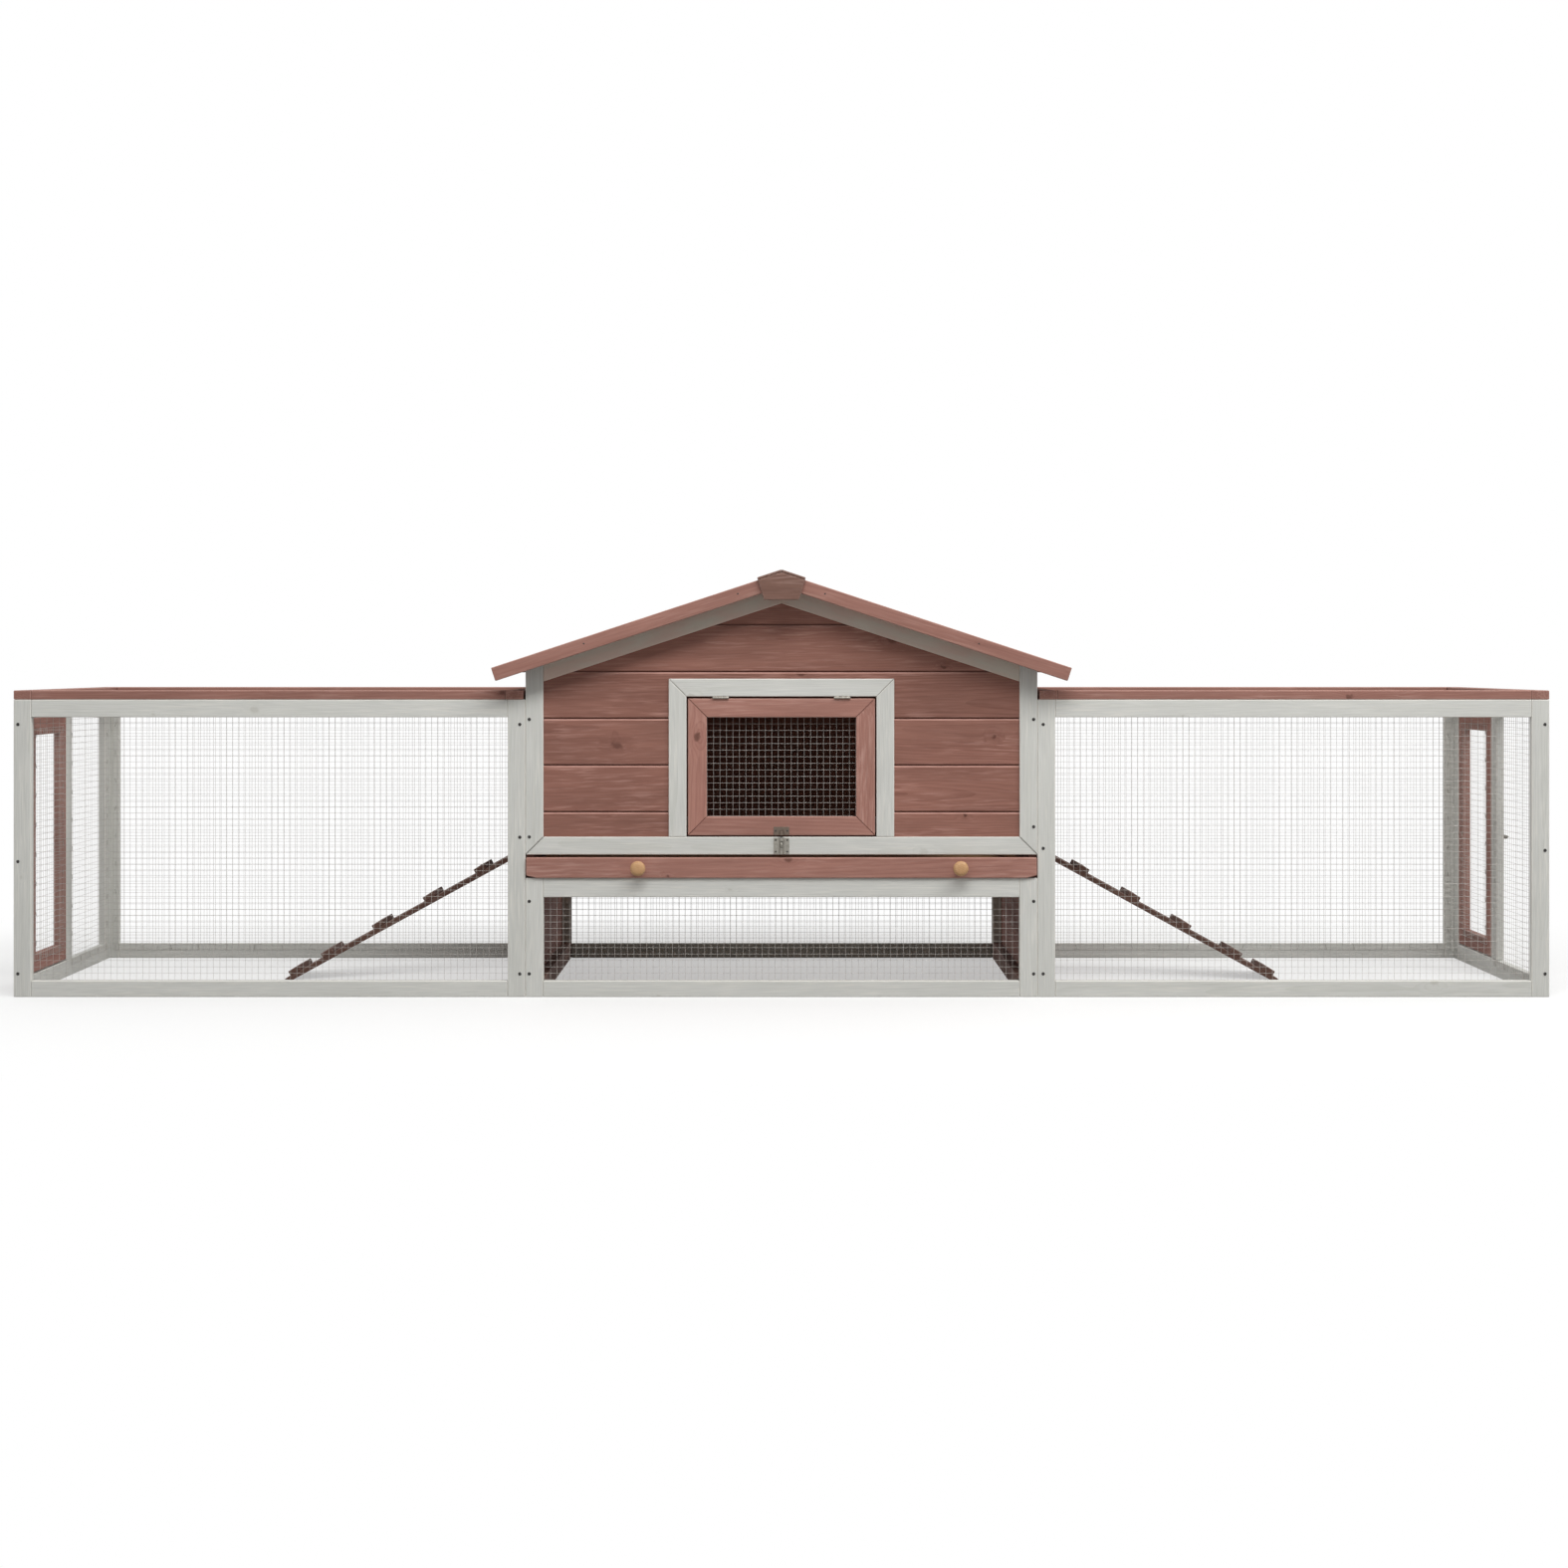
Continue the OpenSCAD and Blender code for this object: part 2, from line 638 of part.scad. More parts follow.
// Hinge halves on the frames and sills, and the pins they hold
module hinge_frame_leaves() color(steel)
{
    leaf_off = -hinge_gap / 2;
    at_house_hinges() hinge_leaf([0, 2], leaf_off);
    for (turn = [0, 180]) rotate([0, 0, turn])
    {
        at_right_end() at_run_hinges() hinge_leaf([0, 2], leaf_off);
        at_ramp_hinges() rotate([0, 0, 90]) hinge_leaf([0, 2], -ramp_pin_up);
    }
}
module hinge_pins() color(steel)
{
    at_house_hinges() hinge_pin();
    for (turn = [0, 180]) rotate([0, 0, turn])
    {
        at_right_end() at_run_hinges() hinge_pin();
        at_ramp_hinges() hinge_pin();
    }
}
module bolt_plates() color(steel)
{
    at_house_bolt() bolt_plate();
    for (turn = [0, 180]) rotate([0, 0, turn]) at_right_end() at_run_bolt() bolt_plate();
}

// House door, which swings out and up
module at_house_door() translate([-door_w / 2, -half_depth, rail_top + door_gap]) children();
module house_door_frame() color(brown) at_house_door() upright(frame_t)
    mitre_frame(door_w, door_h, door_member_w);
module house_door_mesh() color(wire) at_house_door() translate([0, frame_t + joint_gap, 0]) net_upright()
    opening_net([door_member_w, door_member_w], [door_w - door_member_w, door_h - door_member_w]);
module house_door_fittings() color(steel)
{
    at_house_hinges() hinge_leaf([1], hinge_gap / 2 - leaf_t);
    at_house_bolt() bolt_keeper();
}
module house_door_bolt() color(steel) at_house_bolt() bolt_rod();

// Pull-out tray: a floor with rims, a front board and two turned knobs
module tray_box() color(pine)
{
    y = tray_front_y + frame_t + joint_gap;
    rim_z = tray_z + tray_floor_t + joint_gap;
    bar([-tray_half_w, y, tray_z], [tray_half_w, tray_back_y, tray_z + tray_floor_t]);
    for (side = [0, 1]) mirror([side, 0, 0])
        bar([-tray_half_w, y, rim_z], [-tray_half_w + tray_rim_t, tray_back_y, rim_z + tray_rim_h]);
    bar([-tray_half_w + tray_rim_t + joint_gap, tray_back_y - tray_rim_t, rim_z],
        [tray_half_w - tray_rim_t - joint_gap, tray_back_y, rim_z + tray_rim_h]);
}
module tray_front() color(brown) translate([0, tray_front_y, tray_z]) upright(frame_t)
{
    end = house_half - tray_end_gap;
    polygon([[-end, tray_corner_h], [-end + tray_corner_l, 0], [end - tray_corner_l, 0],
        [end, tray_corner_h], [end, tray_front_h], [-end, tray_front_h]]);
}
module tray_knobs() color(pine) for (x = [-knob_left_x, knob_right_x])
    translate([x, tray_front_y, tray_z + tray_front_h / 2]) rotate([90, 0, 0]) rotate_extrude()
        polygon([[0, 0], [0.55 * knob_r, 0], [0.42 * knob_r, 0.3 * knob_l], [0.62 * knob_r, 0.45 * knob_l],
            [0.95 * knob_r, 0.6 * knob_l], [knob_r, 0.72 * knob_l], [0.93 * knob_r, 0.86 * knob_l],
            [0.7 * knob_r, 0.96 * knob_l], [0.35 * knob_r, knob_l], [0, knob_l]]);

// Long wall of a run, front or back, as placed on the right
module run_wall_frame(end) color(white) mirror([0, end, 0]) translate([run_in, -half_depth, 0])
    upright(frame_t) butt_frame(section_l, run_h, member_w, low_rail_w, member_w);
module run_wall_net(end) color(wire) mirror([0, end, 0]) translate([run_in, -end_y, 0])
    net_upright() opening_net([member_w, low_rail_w], [section_l - member_w, run_h - member_w]);

// End wall of the right run: outer frame, middle post and a meshed bay beside the door
module run_end_frame() color(white) at_right_end() upright(frame_t)
{
    butt_frame(end_w, run_h, member_w, member_w, member_w);
    patch([end_door_x - member_w, member_w + joint_gap], [end_door_x, run_h - member_w - joint_gap]);
}
module run_end_net() color(wire) at_right_end() translate([0, frame_t + joint_gap, 0]) net_upright()
    opening_net([member_w, member_w], [end_door_x - member_w, run_h - member_w]);

// Brown frame with mesh on top of the right run
module run_top_frame() color(brown) translate([run_in + top_end_gap, -half_depth, run_h + joint_gap])
    linear_extrude(top_t - joint_gap)
        butt_frame(section_l - top_end_gap, depth, member_w, member_w, member_w);
module run_top_net() color(wire) translate([run_in + top_end_gap, -half_depth, run_h - net_t])
    opening_net([member_w, member_w], [section_l - top_end_gap - member_w, depth - member_w]);

// Door in the end wall of the right run
module at_run_door() at_right_end() translate([end_door_x + door_gap, 0, member_w + door_gap]) children();
module run_door_frame() color(brown) at_run_door() upright(frame_t)
    mitre_frame(end_door_w, end_door_h, member_w);
module run_door_net() color(wire) at_run_door() translate([0, frame_t + joint_gap, 0]) net_upright()
    opening_net([member_w, member_w], [end_door_w - member_w, end_door_h - member_w]);
module run_door_fittings() color(steel) at_right_end()
{
    at_run_hinges() hinge_leaf([1], hinge_gap / 2 - leaf_t);
    at_run_bolt() bolt_keeper();
}
module run_door_bolt() color(steel) at_right_end() at_run_bolt() bolt_rod();

// Ramp of the right run: a plank cut level at its foot, with cleats across it
module ramp() color(dark_brown) translate([house_half, -ramp_w / 2, 0]) upright(ramp_w)
{
    tip = ramp_run - tip_cut;
    drop = ramp_t / cos(ramp_angle);
    heel = ramp_run - (foot_lift + drop) / tan(ramp_angle);
    polygon([[ramp_gap, ramp_top(ramp_gap)], [tip, ramp_top(tip)], [tip, foot_lift],
        [heel, foot_lift], [ramp_gap, ramp_top(ramp_gap) - drop]]);
    full = floor((ramp_l - cleat_last - cleat_first - 2 * cleat_w) / cleat_pitch);
    places = concat([for (i = [0 : full]) cleat_first + i * cleat_pitch], [ramp_l - cleat_last]);
    for (s = places) translate([0, sill_z]) rotate(-ramp_angle)
        translate([s - cleat_w / 2, joint_gap]) square([cleat_w, cleat_t]);
}
module ramp_leaves() color(steel) at_ramp_hinges() rotate([0, 0, -90 - ramp_angle])
    hinge_leaf([1], ramp_pin_off - leaf_t);

house_front_frame();
house_front_boards();
door_casing();
house_back_frame();
house_back_boards();
house_left_wall();
house_right_wall();
lower_frame();  // lower_front_frame
lower_net();  // lower_front_mesh
half_turn() lower_frame();  // lower_back_frame
half_turn() lower_net();  // lower_back_mesh
tray_runners();
wall_battens();
roof_left_boards();
roof_right_boards();
roof_battens();
fascia_boards();
ridge_strips();
ridge_plates();
panel_screws();
hinge_frame_leaves();
hinge_pins();
bolt_plates();
house_door_frame();
house_door_mesh();
house_door_fittings();
house_door_bolt();
tray_box();
tray_front();
tray_knobs();
half_turn() run_wall_frame(1);  // left_run_front_frame
half_turn() run_wall_net(1);  // left_run_front_mesh
half_turn() run_wall_frame(0);  // left_run_back_frame
half_turn() run_wall_net(0);  // left_run_back_mesh
half_turn() run_end_frame();  // left_run_end_frame
half_turn() run_end_net();  // left_run_end_mesh
half_turn() run_top_frame();  // left_run_top_frame
half_turn() run_top_net();  // left_run_top_mesh
half_turn() run_door_frame();  // left_door_frame
half_turn() run_door_net();  // left_door_mesh
half_turn() run_door_fittings();  // left_door_fittings
half_turn() run_door_bolt();  // left_door_bolt
half_turn() ramp();  // left_ramp
half_turn() ramp_leaves();  // left_ramp_leaves
run_wall_frame(0);  // right_run_front_frame
run_wall_net(0);  // right_run_front_mesh
run_wall_frame(1);  // right_run_back_frame
run_wall_net(1);  // right_run_back_mesh
run_end_frame();  // right_run_end_frame
run_end_net();  // right_run_end_mesh
run_top_frame();  // right_run_top_frame
run_top_net();  // right_run_top_mesh
run_door_frame();  // right_door_frame
run_door_net();  // right_door_mesh
run_door_fittings();  // right_door_fittings
run_door_bolt();  // right_door_bolt
ramp();  // right_ramp
ramp_leaves();  // right_ramp_leaves
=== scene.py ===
import json
import math
import random

import bmesh
import bpy
from mathutils import Matrix, Vector
from mathutils.bvhtree import BVHTree


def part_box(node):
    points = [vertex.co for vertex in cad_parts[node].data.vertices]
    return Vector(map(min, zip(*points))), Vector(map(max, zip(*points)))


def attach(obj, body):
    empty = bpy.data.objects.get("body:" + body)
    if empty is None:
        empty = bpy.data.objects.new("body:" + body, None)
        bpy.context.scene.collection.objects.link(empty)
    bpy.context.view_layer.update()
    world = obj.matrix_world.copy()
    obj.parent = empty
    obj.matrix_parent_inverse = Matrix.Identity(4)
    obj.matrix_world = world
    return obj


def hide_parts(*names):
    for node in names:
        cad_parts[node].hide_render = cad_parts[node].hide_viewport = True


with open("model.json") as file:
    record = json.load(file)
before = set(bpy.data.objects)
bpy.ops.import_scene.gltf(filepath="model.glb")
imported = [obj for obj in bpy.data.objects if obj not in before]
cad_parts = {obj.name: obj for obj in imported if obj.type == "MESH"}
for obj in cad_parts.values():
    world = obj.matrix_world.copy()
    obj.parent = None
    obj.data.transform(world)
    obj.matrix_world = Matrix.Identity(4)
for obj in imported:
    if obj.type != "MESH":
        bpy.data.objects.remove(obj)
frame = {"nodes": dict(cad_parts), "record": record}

bl_info = {
    "name": "Long rabbit hutch",
    "version": (1, 0, 0),
    "blender": (4, 5, 0),
    "location": "View3D > Sidebar > Hutch",
    "description": "Dresses the packed rabbit hutch with its timber, nets, fasteners and finishes",
    "category": "Object",
}

RECORD = frame["record"]
SLOT_OF = {part["node"]: part["material_slot"] for part in RECORD["subparts"]}
BODY_OF = {node: body for body, nodes in RECORD["behaviour"]["bodies"].items() for node in nodes}

# Side of the photograph in pixels, and width of the camera's sensor in millimetres
PHOTO_SIDE = 1575
SENSOR = 36

# Woods by slot: prefix of the stain's settings, display colours of knots and of the dark in mitres,
# which on the boards is the painted shade in their V joints, roughness, and how strongly the rings,
# fibres, knots, tones and wear show; on the boards wear also paints a highlight on the side of each
# V joint that looks up. thin holds two display colours of a warm tint on the sloping members that
# paints the roof's shade and the brown fascia's bounce light on them as an uneven thin wash.
WOODS = {
    "stained_boards": {
        # joint here is the painted shade on the sides of the V joints that don't look up; wear also
        # paints a highlight on the sides that do
        "stain": "boards", "knot": (88, 54, 44), "joint": (74, 42, 34), "rough": 0.74,
        "rings": 0.5, "fibres": 0.45, "knots": 1.0, "tones": 0.15, "wear": 1.0,
    },
    "stained_frames": {
        "stain": "members", "knot": (88, 54, 44), "joint": (136, 96, 86), "rough": 0.72,
        "rings": 0.45, "fibres": 0.45, "knots": 0.8, "tones": 0.1, "wear": 0.4,
    },
    "dark_stain": {
        "stain": "dark", "knot": (88, 54, 44), "joint": (74, 42, 34), "rough": 0.78,
        "rings": 0.5, "fibres": 0.5, "knots": 0.5, "tones": 0.12, "wear": 0.35,
    },
    "white_paint": {
        "stain": "paint", "knot": (160, 154, 140), "joint": (96, 88, 78), "rough": 0.6,
        "rings": 0.5, "fibres": 0.4, "knots": 0.35, "tones": 0.04, "wear": 0.7,
        # Warm tint that paints the roof's shade and the fascia's bounce light on the sloping
        # members
        "thin": ((216, 188, 172), (212, 202, 186)),
    },
    "bare_pine": {
        "stain": "pine", "knot": (120, 76, 44), "joint": (110, 72, 42), "rough": 0.5,
        "rings": 0.6, "fibres": 0.35, "knots": 0.8, "tones": 0.05, "wear": 0.2,
    },
}

# Metals by slot: the colour's setting, roughness, fineness of the mottle, share of bare metal
METALS = {
    "wire_mesh": {"metal": "wire", "rough": 0.5, "spangle": 160, "metallic": 0.15},
    "zinc_steel": {
        "metal": "zinc", "rough": 0.34, "spangle": 240, "metallic": 0.85, "darkened_zinc": "darkened_zinc",
    },
    "screw_steel": {"metal": "screw", "rough": 0.45, "spangle": 400, "metallic": 0.6},
}

# Lamp over the front: its place, the point it is aimed at, its length and width, in metres
LAMP_PLACE = (1.1, -2.75, 4.2)
LAMP_AIM = (0, 0, 0.35)
LAMP_SIZE = (6.2, 1.2)

# Fill light: depths of its way between which it sets in, and heights between which it fades
FILL_DEPTH = (-0.8, 0.1)
FILL_RISE = (0.75, 0.35)

# Floor: half its side in metres, its colours where light falls on it and where it is looked at,
# and its glow, which grows to full strength away from the hutch
FLOOR_HALF = 16
FLOOR_LIT = (0.28, 0.275, 0.27)
FLOOR_SEEN = (0.86, 0.86, 0.85)
GLOW_STRETCH = (0.3, 0.8, 1)
GLOW_REACH = (0.4, 1.0)
GLOW_SHARE = (0.45, 1.0)

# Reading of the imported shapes: distance in metres within which vertices are one, and angles up
# to which faces lie flat, over which an edge is an arris and from which a face slants
MERGE = 1e-6
FLAT = math.radians(0.5)
SHARP = math.radians(30)
SLANT = math.radians(12)

# Width under which a slanting face is an arris of a member, of a board and of a zinc plate, and
# rounding of the zinc's edges, in metres
MEMBER_ARRIS_W = 0.003
BOARD_ARRIS_W = 0.005
ZINC_ARRIS_W = 0.0008
ZINC_ARRIS = 0.0002

# Marks of faces: worn arris, which on the side of a V joint that looks up is also a painted
# highlight; painted shade on the other sides of a V joint; edge of a mitre
WEAR_AND_HIGHLIGHT, PAINTED_SHADE, MITRED = 1.0, -1.0, -0.5

# Where in the trunk a member was sawn, in metres: its start, the distance of the trunk's middle
# across and through the member, and how far that middle leans in a metre
TRUNK_L = 40
PITH_ACROSS = 0.03
PITH_THROUGH = (0.018, 0.05)
LEAN_ACROSS, LEAN_THROUGH = 0.03, 0.02

# Tone of the stained members that stand out in the weather
WEATHERED = -1.4

# Turned knobs: sides, and share of the radius at each share of the length from the front board
KNOB_SIDES = 32
KNOB_PROFILE = (
    (0.0, 0.0), (0.52, 0.0), (0.55, 0.04), (0.47, 0.1), (0.42, 0.22), (0.44, 0.34),
    (0.58, 0.44), (0.84, 0.53), (0.97, 0.63), (1.0, 0.73), (0.96, 0.83), (0.84, 0.92),
    (0.6, 0.98), (0.3, 1.0), (0.0, 1.0),
)

# Sides of a wire, and distance of the staples from the edge of their net in metres
WIRE_SIDES = 6
STAPLE_IN = 0.006

# Nails of the fascias: their height, their places along a fascia from its foot, and the height
# of a fascia measured upright
NAIL_H = 0.0005
NAIL_PLACES = (0.32, 0.85)
FASCIA_H = 0.0286

# Screws of the zinc plates: radius and height of a head, smallest thickness and width in metres
# of a solid that has them, and their distance from its middle as a share of its size
PLATE_SCREW_R, PLATE_SCREW_H = 0.0019, 0.0007
PLATE_MIN_T, PLATE_MIN_W = 0.007, 0.012
PLATE_SCREW_OUT = 0.37

# Keepers: width under this share of their length, and how strongly they are darkened
KEEPER_RATIO = 0.8
KEEPER_SHADE = 0.75


def linear(red, green, blue):
    """Scene colour of a display colour given from 0 to 255."""
    return tuple(
        part / 12.92 if part <= 0.04045 else ((part + 0.055) / 1.055) ** 2.4
        for part in (red / 255, green / 255, blue / 255)
    )


def colour_of(name, text, display):
    """Colour property with a default given as a display colour."""
    return bpy.props.FloatVectorProperty(
        name=name, description=text, subtype="COLOR", size=3, min=0, max=1, default=linear(*display)
    )


def length_of(name, text, metres, low, high):
    """Length property in metres."""
    return bpy.props.FloatProperty(
        name=name, description=text, unit="LENGTH", precision=4, default=metres, min=low, max=high
    )


def number_of(name, text, value, high, low=0):
    """Plain number property."""
    return bpy.props.FloatProperty(name=name, description=text, default=value, min=low, max=high)


class HutchColours(bpy.types.PropertyGroup):
    """Stains, paint and metals of the hutch."""

    boards: colour_of("Board stain", "Stain of the wall and roof boards", (145, 101, 88))
    boards_late: colour_of("Board grain", "Darker growth rings of the boards", (112, 72, 62))
    # Also paints the highlight on the side of each V joint that looks up
    boards_pale: colour_of("Board wear", "Pale fibres and rubbed arrises", (186, 142, 130))
    members: colour_of("Member stain", "Stain of doors, fascias and run tops", (169, 122, 109))
    members_late: colour_of("Member grain", "Darker growth rings of those members", (134, 88, 77))
    members_pale: colour_of("Member wear", "Their pale fibres and rubbed arrises", (202, 160, 148))
    dark: colour_of("Dark stain", "Stain of the ramps, battens and ridge", (116, 86, 75))
    dark_late: colour_of("Dark grain", "Darker growth rings under the dark stain", (84, 57, 48))
    dark_pale: colour_of("Dark wear", "Pale fibres and rubbed arrises in it", (158, 130, 120))
    paint: colour_of("Off-white wash", "Wash of the white frames", (211, 211, 206))
    paint_late: colour_of("Wash over grain", "Growth rings through the wash", (195, 196, 187))
    paint_pale: colour_of("Wash on arrises", "Thick wash on fibres and arrises", (230, 227, 219))
    pine: colour_of("Bare pine", "Tray box, runners and knobs", (196, 154, 112))
    pine_late: colour_of("Pine grain", "Growth rings of the pine", (172, 124, 78))
    pine_pale: colour_of("Pine sapwood", "Pale fibres of the pine", (222, 188, 146))
    zinc: colour_of("Zinc", "Hinges and bolts", (158, 154, 145))
    wire: colour_of("Galvanised wire", "Wires of the nets", (193, 188, 182))
    # Colour to which the keepers' zinc is darkened
    darkened_zinc: colour_of("Tarnish", "Darkened zinc of the keepers", (94, 74, 62))
    screw: colour_of("Screw heads", "Dark screw and nail heads", (70, 68, 66))


class HutchSizes(bpy.types.PropertyGroup):
    """Sizes of the pieces that are made here."""

    arris: length_of("Arris", "Rounding of the members' edges", 0.0016, 0.0002, 0.003)
    ring_gap: length_of("Ring gap", "Width of a growth ring", 0.0042, 0.001, 0.01)
    mesh: length_of("Mesh", "Spacing of the net's wires", 0.0127, 0.006, 0.05)
    wire_r: length_of("Wire radius", "Radius of a net's wire", 0.0003, 0.0002, 0.001)
    staple_gap: length_of("Staple spacing", "Distance between staples", 0.062, 0.02, 0.2)
    staple_l: length_of("Staple length", "Length of a staple's crown", 0.010, 0.005, 0.015)
    staple_t: length_of("Staple wire", "Thickness of a staple's wire", 0.0007, 0.0004, 0.0015)
    head_r: length_of("Screw radius", "Radius of a screw head", 0.0033, 0.002, 0.005)
    head_h: length_of("Screw height", "Height of a screw head", 0.0012, 0.0005, 0.002)
    nail_r: length_of("Nail radius", "Radius of a nail head", 0.0016, 0.001, 0.003)
    plate_t: length_of("Plate", "Thickness of the bolts' plates", 0.0012, 0.0005, 0.002)


class HutchView(bpy.types.PropertyGroup):
    """Camera and light."""

    eye: bpy.props.FloatVectorProperty(
        name="Camera place", description="Where the camera stands", subtype="TRANSLATION",
        unit="LENGTH", size=3, default=(0.005, -4.725, 0.6624)
    )
    focal_px: number_of("Focal length", "Focal length in pixels of the photograph", 2253, 9000, 500)
    horizon_px: number_of("Horizon", "Row of the photograph at the camera's height", 664.3, 1575)
    sky_low: number_of("Low light", "Strength of the soft light at the horizon", 0.27, 3)
    sky_high: number_of("High light", "Strength of the soft light from overhead", 0.4, 3)
    sky_round: number_of("Fill light", "Strength of low light from the sides and behind", 0.9, 3)
    key: number_of("Key light", "Power of the lamp over the front in watts", 244, 2000)


# Node trees


def put(tree, kind, inputs=None, **settings):
    """Adds a node, sets its settings and its inputs, and links the inputs that are sockets."""
    node = tree.nodes.new(kind)
    for name, value in settings.items():
        setattr(node, name, value)
    for key, value in (inputs or {}).items():
        if isinstance(value, bpy.types.NodeSocket):
            tree.links.new(value, node.inputs[key])
        else:
            node.inputs[key].default_value = value
    return node


def calc(tree, operation, *values):
    """Math node's result."""
    return put(tree, "ShaderNodeMath", dict(enumerate(values)), operation=operation).outputs[0]


def times(tree, first, second):
    """Product of two numbers."""
    return calc(tree, "MULTIPLY", first, second)


def vector_of(tree, parts):
    """Vector from some of its parts by axis."""
    return put(tree, "ShaderNodeCombineXYZ", parts).outputs[0]


def stored(tree, name, output="Fac"):
    """What the vertices store under a name."""
    return put(tree, "ShaderNodeAttribute", attribute_name=name).outputs[output]


def stretch(tree, vector, scale):
    """Vector times a scale for each axis."""
    return put(
        tree, "ShaderNodeVectorMath", {0: vector, 1: scale}, operation="MULTIPLY"
    ).outputs[0]


def remap(tree, value, low, high, to_low=0.0, to_high=1.0, smooth=False):
    """Value mapped from one range to another, kept inside it."""
    return put(
        tree,
        "ShaderNodeMapRange",
        {"Value": value, "From Min": low, "From Max": high, "To Min": to_low, "To Max": to_high},
        interpolation_type="SMOOTHSTEP" if smooth else "LINEAR",
    ).outputs["Result"]


def noise(tree, vector, detail=2.0, scale=1.0):
    """Value of a noise texture."""
    return put(
        tree, "ShaderNodeTexNoise", {"Vector": vector, "Scale": scale, "Detail": detail}
    ).outputs["Fac"]


def blend(tree, amount, first, second):
    """Colour mixed from two colours."""
    node = put(tree, "ShaderNodeMix", data_type="RGBA")
    for number, value in ((0, amount), (6, first), (7, second)):
        socket = node.inputs[number]
        if isinstance(value, bpy.types.NodeSocket):
            tree.links.new(value, socket)
        elif isinstance(value, (int, float)):
            socket.default_value = value
        else:
            socket.default_value = (*value[:3], 1)
    return node.outputs[2]


def new_material(name):
    """Empty material with a surface shader, and the shader's node."""
    material = bpy.data.materials.new(name)
    material.use_nodes = True
    tree = material.node_tree
    tree.nodes.clear()
    shader = put(tree, "ShaderNodeBsdfPrincipled")
    output = put(tree, "ShaderNodeOutputMaterial")
    tree.links.new(shader.outputs[0], output.inputs[0])
    return material, tree, shader


def looked_at(tree):
    """1 where the camera or a reflection looks, 0 where the light falls."""
    path = put(tree, "ShaderNodeLightPath")
    seen = calc(tree, "MAXIMUM", path.outputs["Is Camera Ray"], path.outputs["Is Glossy Ray"])
    return calc(tree, "MAXIMUM", seen, path.outputs["Is Transmission Ray"])


